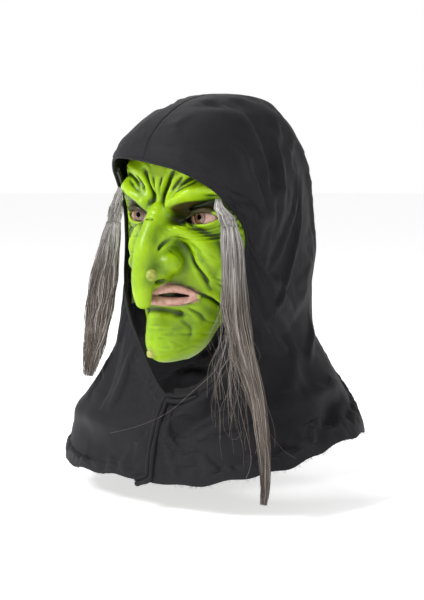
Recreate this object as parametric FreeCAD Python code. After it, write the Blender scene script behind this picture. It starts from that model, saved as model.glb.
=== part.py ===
# Hooded witch mask: a moulded latex face with a sewn black cloth hood and bib, two grey hair locks and an inner head strap.
# Frame: millimetres, +Z up, the face looks along -Y, +X is the wearer's left. Origin: the middle of the wearer's head at eye level.
import FreeCAD, Part
import math
import os

V = FreeCAD.Vector
os.makedirs("parts", exist_ok=True)

# ---- driving dimensions ----
LATEX_T = 2.0            # wall of the moulded latex face
CLOTH_T = 1.6            # hood cloth, a plain stand-in for the knitted fabric
BOND_T = 1.0             # glue tape between the latex flange and the cloth
TAPE_T = 0.6             # seam tape and turned hem
BITE = 0.1               # how far a sewn or glued piece presses into its neighbour
REAR_Y = -34.0           # plane where the latex ends inside the hood
EYE_X, EYE_Y, EYE_Z = 35.5, -57.0, 0.0
EYE_R = 20.0             # outside radius of an eye dome
EYE_T = 1.3
LID_GAP = 0.3
LID_T = 2.4
OPEN_W, OPEN_H = 17.0, 8.0   # half-width and half-height of an almond eye opening
PUPIL_R = 2.4            # see-through hole in an eye dome
HEM_W = 10.0             # turned hem round the face opening
TAPE_W = 12.0            # crown seam tape
ROLL_R = 2.6             # rolled front edges
WEFT_W, WEFT_T = 6.0, 2.2
WL0, WL1 = 5.66, 7.58     # grid rows between which each weft is sewn
WR0, WR1 = 5.45, 6.85
STRAP_Z, STRAP_H, STRAP_T = 6.0, 20.0, 1.4
STRAP_BACK_Y = 87.0
SLIDER_TRAVEL = 15.0


def report(name, out, solids):
    b = out.BoundBox
    print("%-22s solids %2d faces %3d vol %9.1f valid %s  x %.1f..%.1f y %.1f..%.1f z %.1f..%.1f" % (
        name, len(solids), len(out.Faces), out.Volume, out.isValid(), b.XMin, b.XMax, b.YMin, b.YMax, b.ZMin, b.ZMax))


def save(name, shape):
    solids = shape.Solids
    assert solids and all(s.Volume > 0 for s in solids), name
    out = solids[0] if len(solids) == 1 else Part.makeCompound(solids)
    out.exportStep("parts/%s.step" % name)
    report(name, out, solids)
    return out


def mirror(shape):
    return shape.mirror(V(0, 0, 0), V(1, 0, 0))


# ---- the hood's outer surface, as level curves ----
# z, half-width, front y, back y, front power, back power. The curve is widest at y = 5.
MID_Y = 5.0
LEVELS = [
    (113.5, 0.0, MID_Y, MID_Y, 2.0, 2.0),
    (107.0, 36.0, -44.0, 50.0, 2.0, 2.0),
    (97.0, 52.0, -69.0, 68.0, 2.1, 2.0),
    (82.0, 63.0, -92.0, 82.0, 2.3, 2.1),
    (64.0, 71.0, -108.0, 93.0, 2.6, 2.1),
    (46.0, 76.0, -113.0, 99.0, 2.7, 2.1),
    (20.0, 79.0, -110.0, 104.0, 2.5, 2.1),
    (-15.0, 81.0, -105.0, 106.0, 2.3, 2.1),
    (-55.0, 82.0, -98.0, 103.0, 2.2, 2.1),
    (-90.0, 84.0, -91.0, 99.0, 2.2, 2.1),
    (-118.0, 92.0, -87.0, 97.0, 2.3, 2.1),
    (-143.0, 112.0, -92.0, 97.0, 2.5, 2.1),
    (-168.0, 130.0, -103.0, 99.0, 2.6, 2.1),
    (-195.0, 143.0, -112.0, 103.0, 2.6, 2.1),
    (-220.0, 148.0, -117.0, 107.0, 2.6, 2.1),
    (-245.0, 150.5, -119.5, 110.5, 2.6, 2.1),
    (-270.0, 152.0, -121.0, 112.0, 2.6, 2.1),
]
COLUMNS = []
for _z, _a, _f, _b, _nf, _nb in reversed(LEVELS):
    COLUMNS.append((_z, _a * _a, (_f - MID_Y) ** 2, (_b - MID_Y) ** 2, _nf, _nb))


def slopes(k):
    zs, ys = [r[0] for r in COLUMNS], [r[k] for r in COLUMNS]
    h = [zs[i + 1] - zs[i] for i in range(len(zs) - 1)]
    d = [(ys[i + 1] - ys[i]) / h[i] for i in range(len(h))]
    m = [d[0]] + [0.0] * (len(d) - 1) + [d[-1]]
    for i in range(1, len(d)):
        if d[i - 1] * d[i] > 0:
            w1, w2 = 2 * h[i] + h[i - 1], h[i] + 2 * h[i - 1]
            m[i] = (w1 + w2) / (w1 / d[i - 1] + w2 / d[i])
    return m


SLOPES = [None] + [slopes(k) for k in range(1, 6)]


def level(z):
    zs = [r[0] for r in COLUMNS]
    z = max(zs[0], min(zs[-1], z))
    i = max(0, min(len(zs) - 2, sum(1 for q in zs if q <= z) - 1))
    h = zs[i + 1] - zs[i]
    t = (z - zs[i]) / h
    out = []
    for k in range(1, 6):
        a, b, ma, mb = COLUMNS[i][k], COLUMNS[i + 1][k], SLOPES[k][i] * h, SLOPES[k][i + 1] * h
        out.append((2 * t ** 3 - 3 * t * t + 1) * a + (t ** 3 - 2 * t * t + t) * ma + (3 * t * t - 2 * t ** 3) * b + (t ** 3 - t * t) * mb)
    return out


def field(x, y, z):
    # About the distance outside the hood's outer surface, in millimetres.
    a2, f2, b2, nf, nb = level(z)
    over = max(0.0, z - 113.3)
    a2, f2, b2 = max(a2, 4.0), max(f2, 4.0), max(b2, 4.0)
    n, w2 = (nf, f2) if y < MID_Y else (nb, b2)
    r = ((abs(x) / math.sqrt(a2)) ** n + (abs(y - MID_Y) / math.sqrt(w2)) ** n) ** (1.0 / n)
    return (r - 1.0) * math.sqrt(min(a2, w2)) + over * 3


def gradient(p):
    e = 0.4
    g = V(field(p.x + e, p.y, p.z) - field(p.x - e, p.y, p.z),
          field(p.x, p.y + e, p.z) - field(p.x, p.y - e, p.z),
          field(p.x, p.y, p.z + e) - field(p.x, p.y, p.z - e))
    return g * (0.5 / e)


def onto(p, steps=4):
    for _ in range(steps):
        g = gradient(p)
        k = max(g.Length ** 2, 1e-4)
        step = g * (field(p.x, p.y, p.z) / k)
        if step.Length > 12:
            step = step * (12 / step.Length)
        p = p - step
    return p


def inward(p, d):
    g = gradient(p)
    return p - g * (d / g.Length)


# ---- the face opening and the hem, as curves on that surface for phi from 0 (top or back) to 180 (front) ----
# (x, z) seen from the front; the wearer's left side of the brim hangs lower than the right.
OPEN_LEFT = [(0.0, 51.5), (18.0, 48.0), (36.0, 42.8), (50.5, 34.0), (59.0, 25.0), (65.0, 12.0), (70.5, -4.0), (72.0, -20.0),
             (70.0, -38.0), (65.0, -57.0), (61.5, -75.0), (60.5, -92.0), (62.5, -108.0), (64.5, -120.0), (64.0, -133.0), (58.5, -147.0),
             (48.0, -156.5), (35.0, -161.5), (22.0, -163.0)]
OPEN_RIGHT = [(0.0, 51.5), (18.0, 53.5), (36.0, 54.0), (50.0, 51.0), (61.0, 41.0), (68.0, 26.0), (72.0, 8.0), (72.5, -14.0),
              (70.0, -38.0), (64.5, -57.0), (57.0, -75.0), (48.0, -92.0), (37.0, -108.0), (25.0, -123.0), (13.0, -137.0), (2.0, -148.5),
              (-10.0, -157.5), (-22.0, -163.0)]
# (angle from the back, z) of the raw hem, which rides up over the wearer's left shoulder
HEM_LEFT = [(0.0, -206.0), (75.0, -200.0), (180.0, -236.0)]
HEM_RIGHT = [(0.0, -206.0), (105.0, -236.0), (180.0, -236.0)]
# x of the front line from the throat (0) to the hem (1)
FRONT_LINE = [(0.0, 22.0), (0.16, 16.0), (0.42, 13.2), (0.7, 11.6), (1.0, 11.0)]


def on_front(x, z):
    a2, f2, b2, nf, nb = level(z)
    k = max(0.0, 1 - (abs(x) / math.sqrt(a2)) ** nf) ** (1 / nf)
    return V(x, MID_Y - math.sqrt(f2) * k, z)


def opening_points(outline, n):
    curve = Part.BSplineCurve()
    curve.interpolate(Points=[V(x, 0, z) for x, z in outline])
    return [on_front(p.x, p.z) for p in curve.discretize(n)]


def table(rows, t):
    for (a, p), (b, q) in zip(rows, rows[1:]):
        if t <= b:
            k = max(0.0, (t - a) / (b - a))
            k = k * k * (3 - 2 * k)
            return p + (q - p) * k
    return rows[-1][1]


def hem_point(phi, z):
    a2, f2, b2, nf, nb = level(z)
    c, s = math.cos(phi), math.sin(phi)
    n, w = (nb, math.sqrt(b2)) if c > 0 else (nf, math.sqrt(f2))
    return V(math.sqrt(a2) * abs(s) ** (2 / n), MID_Y + w * math.copysign(abs(c) ** (2 / n), c), z)


def panel_grid(outline, hem, front_x, n_phi, n_s):
    # Rows run from the face opening to the hem; the first lies on the crown seam and the last on the front edge.
    edge = opening_points(outline, n_phi)
    grid = []
    for i in range(n_phi):
        phi = math.pi * i / (n_phi - 1)
        e, h, c = edge[i], hem_point(phi, table(hem, math.degrees(phi))), math.cos(phi)
        u = (1 + c) / 2
        p1 = e + V(25 * math.sin(phi), 10 + 60 * u, 150 * max(c, 0) - 25 * max(-c, 0))
        p2 = h + V(0, 40 * u, 40 + 350 * u ** 1.3)
        row = []
        for j in range(n_s):
            t = j / (n_s - 1)
            b = e * (1 - t) ** 3 + p1 * (3 * t * (1 - t) ** 2) + p2 * (3 * t * t * (1 - t)) + h * t ** 3
            if 0 < j < n_s - 1:
                b = onto(b, 14)
            row.append(b)
        grid.append(row)

    def fix(i, j, q):
        if i == 0:
            q.x = 0
        if i == n_phi - 1:
            q.x = front_x * table(FRONT_LINE, j / (n_s - 1))
        return q

    return grid, fix


def even(grid):
    # The same rows with their points spaced evenly.
    out = []
    for row in grid:
        run = [0.0]
        for p, q in zip(row, row[1:]):
            run.append(run[-1] + (q - p).Length)
        new, k, m = [row[0]], 0, len(row)
        for j in range(1, m - 1):
            t = run[-1] * j / (m - 1)
            while run[k + 1] < t:
                k += 1
            u = (t - run[k]) / (run[k + 1] - run[k])
            new.append(onto(row[k] * (1 - u) + row[k + 1] * u, 6))
        out.append(new + [row[-1]])
    return out


def relax(ga, gb, rounds):
    # Even out both panels together, so that they share one crown seam and one front line.
    fa, fb = FIX_L, FIX_R
    n, m = len(ga), len(ga[0])
    for k in range(rounds + 1):
        steps = 4 if k == rounds else 1
        new = []
        for g, fix, other in ((ga, fa, gb), (gb, fb, ga)):
            out = [list(r) for r in g]
            for i in range(n):
                for j in range(1, m - 1):
                    p = g[i - 1][j] if i > 0 else V(-other[1][j].x, other[1][j].y, other[1][j].z)
                    q = g[i + 1][j] if i < n - 1 else V(-other[n - 2][j].x, other[n - 2][j].y, other[n - 2][j].z)
                    r = (g[i][j - 1] + g[i][j + 1]) * 0.3 + (p + q) * 0.2
                    out[i][j] = fix(i, j, onto(fix(i, j, r), steps))
            new.append(out)
        ga, gb = new
        for i in (0, n - 1):
            for j in range(m):
                p, q = ga[i][j], gb[i][j]
                c = V((p.x - q.x) / 2, (p.y + q.y) / 2, (p.z + q.z) / 2)
                ga[i][j], gb[i][j] = V(c), V(-c.x, c.y, c.z)
    for i in (0, n - 1):
        for j in range(1, m - 1):
            c = fa(i, j, onto(ga[i][j], 4))
            ga[i][j], gb[i][j] = V(c), V(-c.x, c.y, c.z)
    return ga, gb


def spans(lines):
    # Chord-length parameters of a family of point rows, from 0 to 1.
    n = len(lines[0])
    out = [0.0] * n
    for line in lines:
        run, acc = [0.0], 0.0
        for p, q in zip(line, line[1:]):
            acc += (q - p).Length
            run.append(acc)
        out = [o + r / max(acc, 1e-9) for o, r in zip(out, run)]
    return [o / len(lines) for o in out]


def knots_for(t, p):
    n = len(t)
    return [0.0] * (p + 1) + [sum(t[i:i + p]) / p for i in range(1, n - p)] + [1.0] * (p + 1)


def basis(t, p, knots, n):
    row = [0.0] * n
    k = p
    while k < n - 1 and t >= knots[k + 1]:
        k += 1
    vals = [1.0]
    for d in range(1, p + 1):
        new = [0.0] * (d + 1)
        for i, v in enumerate(vals):
            lo, hi = knots[k - d + 1 + i], knots[k + 1 + i]
            w = (t - lo) / (hi - lo)
            new[i] += (1 - w) * v
            new[i + 1] += w * v
        vals = new
    for i, v in enumerate(vals):
        row[k - p + i] = v
    return row


def solve(rows, rhs):
    # Gaussian elimination with partial pivoting; rhs holds rows of vectors.
    n = len(rows)
    a = [list(r) for r in rows]
    b = [list(r) for r in rhs]
    for c in range(n):
        piv = max(range(c, n), key=lambda r: abs(a[r][c]))
        a[c], a[piv], b[c], b[piv] = a[piv], a[c], b[piv], b[c]
        for r in range(c + 1, n):
            if a[r][c] != 0.0:
                f = a[r][c] / a[c][c]
                for k in range(c, n):
                    a[r][k] -= f * a[c][k]
                b[r] = [x - y * f for x, y in zip(b[r], b[c])]
    out = [None] * n
    for r in range(n - 1, -1, -1):
        acc = b[r]
        for k in range(r + 1, n):
            if a[r][k] != 0.0:
                acc = [x - y * a[r][k] for x, y in zip(acc, out[k])]
        out[r] = [x * (1.0 / a[r][r]) for x in acc]
    return out


def patch(grid):
    # A cubic surface through every point of the grid, spaced by chord length.
    n, m = len(grid), len(grid[0])
    p, q = min(3, n - 1), min(3, m - 1)
    cols = [[row[j] for row in grid] for j in range(m)]
    u, v = spans(cols), spans(grid)
    ku, kv = knots_for(u, p), knots_for(v, q)
    half = solve([basis(t, p, ku, n) for t in u], grid)
    turned = [[half[i][j] for i in range(n)] for j in range(m)]
    poles = solve([basis(t, q, kv, m) for t in v], turned)
    poles = [[poles[j][i] for j in range(m)] for i in range(n)]

    def split(k, d):
        return [k[0]] + k[d + 1:-d - 1] + [k[-1]], [d + 1] + [1] * (len(k) - 2 * d - 2) + [d + 1]

    kuu, mu = split(ku, p)
    kvv, mv = split(kv, q)
    s = Part.BSplineSurface()
    s.buildFromPolesMultsKnots(poles, mu, mv, kuu, kvv, False, False, p, q)
    return s.toShape()


def slab(outer, inner):
    # A closed solid of six faces between two grids of the same size.
    fo, fi = patch(outer), patch(inner)
    faces = [fo, fi]
    rims = []
    for f in (fo, fi):
        s = f.Surface
        u0, u1, v0, v1 = s.bounds()
        rims.append([s.uIso(u0).toShape(), s.uIso(u1).toShape(), s.vIso(v0).toShape(), s.vIso(v1).toShape()])
    for a, b in zip(*rims):
        faces.append(Part.makeRuledSurface(a, b, 1))
    shell = Part.makeShell(faces)
    shell.sewShape()
    solid = Part.makeSolid(shell)
    if solid.Volume < 0:
        solid = solid.reversed()
    assert solid.isValid() and solid.isClosed()
    return solid


def shifted(grid, d, seam=False):
    # The grid moved inward (or outward for a negative d) from the hood's outer surface.
    out = []
    for i, row in enumerate(grid):
        r = []
        for p in row:
            q = inward(p, d)
            if seam and i in (0, len(grid) - 1):
                q.x = p.x
            r.append(q)
        out.append(r)
    return out


def flip(grid):
    return [[V(-p.x, p.y, p.z) for p in row] for row in grid]


# ---- hood panels: left and right halves sewn together over the crown and down the back ----
(LEFT, FIX_L), (RIGHT, FIX_R) = panel_grid(OPEN_LEFT, HEM_LEFT, 1, 25, 19), panel_grid(OPEN_RIGHT, HEM_RIGHT, -1, 25, 19)
LEFT, RIGHT = relax(LEFT, RIGHT, 120)
for _ in range(3):
    LEFT, RIGHT = relax(even(LEFT), even(RIGHT), 3)
left_panel = slab(LEFT, shifted(LEFT, CLOTH_T, True))
right_panel = mirror(slab(RIGHT, shifted(RIGHT, CLOTH_T, True)))
save("hood_left_panel", left_panel)
save("hood_right_panel", right_panel)

# ---- seam tape inside the crown and back seam ----
tape = []
for p in LEFT[0][1:-1]:
    tape.append([onto(V(x, p.y, p.z), 3) for x in (-TAPE_W / 2, -TAPE_W / 4, 0, TAPE_W / 4, TAPE_W / 2)])
save("crown_seam_tape", slab(shifted(tape, CLOTH_T - BITE), shifted(tape, CLOTH_T + TAPE_T)))


# ---- strips that follow the face opening, inside the cloth ----
def edge_tangent(grid, k):
    n = len(grid)
    q = grid[min(k + 1, n - 1)][0]
    p = grid[k - 1][0] if k > 0 else V(-q.x, q.y, q.z)
    return (q - p) * (1 / (q - p).Length)


def edge_strip(grid, f0, f1, n, d0, d1, m):
    # Points from d0 to d1 behind the edge, square to it, for grid rows f0 to f1.
    out = []
    for i in range(n):
        f = f0 + (f1 - f0) * i / (n - 1)
        k = min(int(f), len(grid) - 2)
        t = f - k
        e = onto(grid[k][0] * (1 - t) + grid[k + 1][0] * t, 3)
        along = edge_tangent(grid, k) * (1 - t) + edge_tangent(grid, k + 1) * t
        g = gradient(e).cross(along)
        g = g * (1 / g.Length)
        if g.dot(e - V(0, -60, -35)) < 0:
            g = g * -1
        out.append([onto(e + g * (d0 + (d1 - d0) * j / (m - 1)), 4) for j in range(m)])
    return out


ring = [edge_strip(LEFT, 23.7, 0.0, 44, 0.4, HEM_W, 3), flip(edge_strip(RIGHT, 0.0, 23.7, 44, 0.4, HEM_W, 3))]
ring = ring[0][:-1] + ring[1]
for row, p in zip([ring[43]], [LEFT[0][0]]):
    for q in row:
        q.x = 0
save("brim_hem", slab(shifted(ring, CLOTH_T - BITE), shifted(ring, CLOTH_T + TAPE_T)))


# ---- rolled front edges, side by side down the front line ----
def tube(points, rx, ry=None):
    # A smooth bar with an elliptical section; rx and ry are half-widths along X and along the other way.
    wires = []
    n = len(points)
    for i, p in enumerate(points):
        t = points[min(i + 1, n - 1)] - points[max(i - 1, 0)]
        t = t * (1 / t.Length)
        u = V(1, 0, 0) - t * t.x
        u = u * (1 / u.Length)
        w = t.cross(u)
        a, b = rx[i], (ry or rx)[i]
        ring_pts = [p + u * (a * math.cos(k * math.pi / 6)) + w * (b * math.sin(k * math.pi / 6)) for k in range(12)]
        c = Part.BSplineCurve()
        c.interpolate(Points=ring_pts, PeriodicFlag=True)
        wires.append(Part.Wire(c.toShape()))
    return Part.makeLoft(wires, True, False)


def roll(side):
    pts = []
    for j in range(0, 19):
        p = LEFT[24][j]
        g = gradient(p)
        g = g * (1 / g.Length)
        q = onto(p + V(side * (ROLL_R + 0.3), 0, 0), 3)
        pts.append(q + g * (ROLL_R - 0.5))
    lead = pts[-1] - pts[-2]
    pts.append(pts[-1] + lead * (3.0 / lead.Length))
    r = [ROLL_R] * 18 + [ROLL_R * 1.15, ROLL_R * 1.15]
    return tube(pts, r)


save("front_left_hem", roll(1))
save("front_right_hem", roll(-1))

# ---- moulded latex face ----
# z, half-width, front y, widest y, power, rear y; the last rows turn back under the chin.
FACE = [
    (88.0, 40.0, -58.0, -20.0, 2.0, -34.0), (80.0, 53.0, -74.0, -18.0, 2.0, -34.0), (66.0, 62.0, -84.0, -16.0, 2.1, -34.0),
    (46.0, 68.0, -90.0, -15.0, 2.2, -34.0), (26.0, 72.0, -90.0, -15.0, 2.2, -34.0), (4.0, 74.0, -86.0, -15.0, 2.2, -34.0),
    (-18.0, 73.5, -84.0, -15.0, 2.25, -34.0), (-40.0, 71.0, -86.0, -15.0, 2.3, -34.0), (-60.0, 66.5, -90.0, -15.0, 2.3, -34.0),
    (-78.0, 60.0, -94.0, -16.0, 2.25, -34.0), (-95.0, 52.0, -97.0, -19.0, 2.2, -34.5), (-110.0, 42.5, -102.0, -25.0, 2.15, -37.0),
    (-121.0, 33.5, -105.5, -33.0, 2.1, -42.0), (-128.5, 25.5, -104.0, -42.0, 2.0, -49.0), (-133.0, 17.0, -97.0, -50.0, 2.0, -57.0),
]
ZS = [r[0] for r in FACE]


def face_row(z):
    for a, b in zip(FACE, FACE[1:]):
        if a[0] >= z >= b[0]:
            k = (a[0] - z) / (a[0] - b[0])
            return [p + (q - p) * k for p, q in zip(a, b)]
    return list(FACE[0] if z > FACE[0][0] else FACE[-1])


def smooth_row(z):
    # The table, averaged over a few millimetres so that it has no corners.
    out = [0.0] * 6
    total = 0.0
    for k in range(-4, 5):
        w = math.exp(-(k / 2.2) ** 2)
        zz = max(ZS[-1], min(ZS[0], z + 1.8 * k))
        r = face_row(zz)
        total += w
        out = [o + w * q for o, q in zip(out, r)]
    return [o / total for o in out]


def bump(x, z, cx, cz, sx, sz):
    return math.exp(-((x - cx) / sx) ** 2 - ((z - cz) / sz) ** 2)


def ramp(a, b, t):
    k = max(0.0, min(1.0, (t - a) / (b - a)))
    return k * k * (3 - 2 * k)


NOSE = [(14.0, 0.0, 0.0), (4.0, 6.0, 0.0), (-8.0, 12.0, -1.0), (-20.0, 21.0, -3.0), (-32.0, 31.0, -6.0), (-42.0, 36.0, -12.0),
        (-52.0, 35.0, -19.0), (-59.0, 26.0, -21.0), (-65.0, 9.0, -10.0), (-71.0, 0.0, 0.0)]


def nose(z):
    for a, b in zip(NOSE, NOSE[1:]):
        if a[0] >= z >= b[0]:
            k = (a[0] - z) / (a[0] - b[0])
            k = k * k * (3 - 2 * k) * 0.5 + k * 0.5
            return a[1] + (b[1] - a[1]) * k, a[2] + (b[2] - a[2]) * k
    return 0.0, 0.0


def sculpt(p):
    # Brow, sockets, cheeks, nose, lips and chin as shifts of the plain face.
    x, z = abs(p.x), p.z
    out = 0.0
    out += 7.5 * bump(x, z, 24, 20 + 0.0 * x, 20, 8)                      # brow
    out += 5.0 * bump(x, z, 46, 27, 14, 9)
    out += 3.0 * bump(x, z, 0, 30, 10, 12)
    out -= 6.0 * bump(x, z, 37, -1, 19, 13)                               # eye socket
    out += 5.0 * bump(x, z, 47, -26, 16, 13)                              # cheek
    out -= 3.0 * bump(x, z, 50, -72, 16, 16)
    out += 9.0 * bump(x, z, 18, -42, 8.0, 9)                              # nose wing
    out += 5.0 * bump(x, z, 0, -71, 26, 8)                                # lips
    out -= 4.0 * bump(x, z, 0, -87, 24, 6)
    out += 4.0 * bump(x, z, 0, -109, 20, 12)                              # chin
    d, drop = nose(z)
    w = math.exp(-(x / (9.5 + 0.06 * max(0.0, -z))) ** 2)
    k = ramp(REAR_Y, REAR_Y - 26, p.y)
    return V(p.x, p.y - out * k - d * w, p.z + drop * w - 2.5 * bump(x, z, 0, -122, 18, 9))


def face_point(z, t):
    zz, a, yf, c, n, yr = smooth_row(z)
    r = max(0.0, min(1.0, (c - yr) / (c - yf)))
    top = math.acos(r ** (n / 2))
    th = top * t
    s, co = math.sin(th), math.cos(th)
    p = V(a * math.copysign(abs(s) ** (2 / n), s), c - (c - yf) * co ** (2 / n), zz if z > ZS[-1] + 8 else z)
    p = sculpt(p)
    # The flange: towards its rear edge the latex spreads out to the cloth.
    w = ramp(-64.0, -50.0, p.y) * ramp(-112.0, -92.0, p.z) * ramp(90.0, 70.0, p.z)
    if w > 0:
        hx = hood_x(p.y, p.z) - CLOTH_T - BOND_T
        p.x = math.copysign(abs(p.x) + w * (hx - abs(p.x)), p.x)
    return p


def hood_x(y, z):
    a2, f2, b2, nf, nb = level(z)
    n, w2 = (nf, f2) if y < MID_Y else (nb, b2)
    return math.sqrt(a2) * max(0.0, 1 - (abs(y - MID_Y) / math.sqrt(w2)) ** n) ** (1 / n)


NR, NC = 43, 45
zrows = [88.0 - (88.0 + 133.0) * i / (NR - 1) for i in range(NR)]
FG = []
for z in zrows:
    FG.append([face_point(z, -1 + 2 * (j / (NC - 1))) for j in range(NC)])
for i, row in enumerate(FG):
    for j, p in enumerate(row):
        if j == NC // 2:
            p.x = 0.0


def grid_normals(g, sign):
    nr, nc = len(g), len(g[0])
    out = []
    for i in range(nr):
        r = []
        for j in range(nc):
            a = g[min(i + 1, nr - 1)][j] - g[max(i - 1, 0)][j]
            b = g[i][min(j + 1, nc - 1)] - g[i][max(j - 1, 0)]
            n = a.cross(b) * sign
            r.append(n * (1 / n.Length))
        out.append(r)
    return out


NORMALS = grid_normals(FG, 1.0)
if NORMALS[NR // 3][NC // 2].y > 0:
    NORMALS = grid_normals(FG, -1.0)


def face_shift(d, g=None):
    return [[p - n * d for p, n in zip(rp, rn)] for rp, rn in zip(g or FG, NORMALS)]


face = slab(FG, face_shift(LATEX_T))
report("face blank", face, face.Solids)


def almond(side):
    # Prism through the front of an eye opening, pointed at both corners.
    cx = side * EYE_X
    pts_up = [V(cx - side * OPEN_W, -110, EYE_Z - 2), V(cx - side * 8, -110, EYE_Z + OPEN_H * 0.72), V(cx + side * 2, -110, EYE_Z + OPEN_H), V(cx + side * 10, -110, EYE_Z + OPEN_H * 0.7), V(cx + side * OPEN_W, -110, EYE_Z)]
    pts_dn = [V(cx + side * OPEN_W, -110, EYE_Z), V(cx + side * 9, -110, EYE_Z - OPEN_H * 0.75), V(cx, -110, EYE_Z - OPEN_H), V(cx - side * 9, -110, EYE_Z - OPEN_H * 0.8), V(cx - side * OPEN_W, -110, EYE_Z - 2)]
    a, b = Part.BSplineCurve(), Part.BSplineCurve()
    a.interpolate(Points=pts_up)
    b.interpolate(Points=pts_dn)
    return Part.Face(Part.Wire([a.toShape(), b.toShape()])).extrude(V(0, 110 + EYE_Y + 4, 0))


def eye_cut(side):
    c = V(side * EYE_X, EYE_Y, EYE_Z)
    return Part.makeSphere(EYE_R + LID_GAP, c)


def lids(side):
    c = V(side * EYE_X, EYE_Y, EYE_Z)
    ball = Part.makeSphere(EYE_R + LID_GAP + LID_T, c)
    keep = Part.makeBox(60, 60, 60, V(c.x - 30, EYE_Y - 3 - 60, c.z - 30))
    return ball.common(keep)


for side in (1, -1):
    face = face.fuse(lids(side))
    face = face.cut(eye_cut(side))
    face = face.cut(almond(side))
    report("face with eye", face, face.Solids)

# Parted lips: a narrow slit that widens towards both corners of the mouth.
for side in (1, -1):
    c = V(side * 17, -100, -71)
    e = Part.Face(Part.Wire(Part.Ellipse(V(0, 0, 0), 8.5, 3.0).toShape())).extrude(V(0, 0, 50))
    e.rotate(V(0, 0, 0), V(1, 0, 0), -90)
    e.translate(V(c.x, -104, c.z))
    face = face.cut(e)
face = face.cut(Part.makeBox(30, 40, 1.8, V(-15, -104, -71.9)))
# Warts on the nose and on the chin.
WARTS = [(V(9.0, -112.0, -52.0), 4.8), (V(3.0, -104.5, -119.0), 4.6)]
for c, r in WARTS:
    face = face.fuse(Part.makeSphere(r, c).cut(Part.makeSphere(r - 1.8, c)))
assert len(face.Solids) == 1
face = face.Solids[0]
save("face_shell", face)


# ---- glossy eye domes behind the lids, each with a see-through pupil ----
def eye_dome(side):
    c = V(side * EYE_X, EYE_Y, EYE_Z)
    keep = Part.makeBox(60, 60, 60, V(c.x - 30, EYE_Y - 5 - 60, c.z - 30))
    hole = Part.makeCylinder(PUPIL_R, 40, V(c.x, c.y, c.z), V(0, -1, 0))
    return Part.makeSphere(EYE_R, c).cut(Part.makeSphere(EYE_R - EYE_T, c)).common(keep).cut(hole)


save("left_eye_dome", eye_dome(1))
save("right_eye_dome", eye_dome(-1))


# ---- glue tape between the latex flange and the cloth ----
def side_grid(y0, y1, z0, z1, ny, nz, depth):
    # Points on the left side of the hood, moved in by depth.
    out = []
    for i in range(nz):
        z = z0 + (z1 - z0) * i / (nz - 1)
        row = []
        for j in range(ny):
            y = y0 + (y1 - y0) * j / (ny - 1)
            row.append(V(hood_x(y, z) - depth, y, z))
        out.append(row)
    return out


def side_slab(y0, y1, z0, z1, ny, nz, d0, d1):
    return slab(side_grid(y0, y1, z0, z1, ny, nz, d0), side_grid(y0, y1, z0, z1, ny, nz, d1))


bond = side_slab(-41.2, -35.5, -88, 66, 4, 19, CLOTH_T - BITE, CLOTH_T + BOND_T + BITE)
save("left_face_bond", bond)
save("right_face_bond", mirror(bond))

# ---- head strap: sewn pads on the latex, an elastic band round the back of the head, and a slider ----
PAD_T = 1.5
PAD_IN = CLOTH_T + BOND_T + LATEX_T
pad = side_slab(-48.5, -36, STRAP_Z - 14, STRAP_Z + 14, 5, 5, PAD_IN - BITE, PAD_IN + PAD_T)
save("left_strap_pad", pad)
save("right_strap_pad", mirror(pad))

STRAP_IN = PAD_IN + PAD_T - BITE + STRAP_T / 2
ends_xy = [(hood_x(y, STRAP_Z) - STRAP_IN, y) for y in (-47.0, -43.0, -39.0)]
half = ends_xy + [(70.5, -28.0), (70.8, -10.0), (70.0, 12.0), (67.0, 34.0), (60.5, 54.0), (50.0, 71.0), (38.0, 82.0), (31.0, 85.6)]
back = [(24.0, STRAP_BACK_Y), (12.0, STRAP_BACK_Y), (0.0, STRAP_BACK_Y), (-12.0, STRAP_BACK_Y), (-24.0, STRAP_BACK_Y)]
line = half + back + [(-x, y) for x, y in reversed(half)]


def band(points, t, z0, z1):
    outer, inner = [], []
    n = len(points)
    for i, (x, y) in enumerate(points):
        a, b = points[max(i - 1, 0)], points[min(i + 1, n - 1)]
        tx, ty = b[0] - a[0], b[1] - a[1]
        k = math.hypot(tx, ty)
        nx, ny = ty / k, -tx / k
        outer.append([V(x + nx * t / 2, y + ny * t / 2, z) for z in (z0, (z0 + z1) / 2, z1)])
        inner.append([V(x - nx * t / 2, y - ny * t / 2, z) for z in (z0, (z0 + z1) / 2, z1)])
    return slab(outer, inner)


strap = band(line, STRAP_T, STRAP_Z - STRAP_H / 2, STRAP_Z + STRAP_H / 2)
save("elastic_strap", strap)

sw, sh, st = 15.0, STRAP_H + 8.0, 4.6
slider = Part.makeBox(sw, st, sh, V(-sw / 2, STRAP_BACK_Y - st / 2, STRAP_Z - sh / 2))
slider = slider.makeFillet(0.8, slider.Edges)
slider = slider.cut(Part.makeBox(sw + 2, STRAP_T + 0.8, STRAP_H + 0.8, V(-sw / 2 - 1, STRAP_BACK_Y - STRAP_T / 2 - 0.4, STRAP_Z - STRAP_H / 2 - 0.4)))
for x in (-5.2, 1.8):
    slider = slider.cut(Part.makeBox(3.4, st, STRAP_H - 2.0, V(x, STRAP_BACK_Y, STRAP_Z - STRAP_H / 2 + 1.0)))
save("strap_slider", slider)


def rivets():
    # Three domed rivets through the strap and the pad, down a line near the strap's end.
    out = []
    for z in (-6.0, 0.0, 6.0):
        y = -43.0
        x = hood_x(y, STRAP_Z + z) - PAD_IN - PAD_T - STRAP_T
        n = V(-1, -0.27, 0)
        n = n * (1 / n.Length)
        base = V(x + 0.15, y, STRAP_Z + z)
        shaft = Part.makeCylinder(0.9, 2.5, base - n * 2.3, n)
        head = Part.makeCone(2.1, 1.2, 0.9, base, n)
        out.append(shaft.fuse(head))
    return Part.makeCompound(out)


r = rivets()
save("left_strap_rivets", r)
save("right_strap_rivets", mirror(r))

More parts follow.
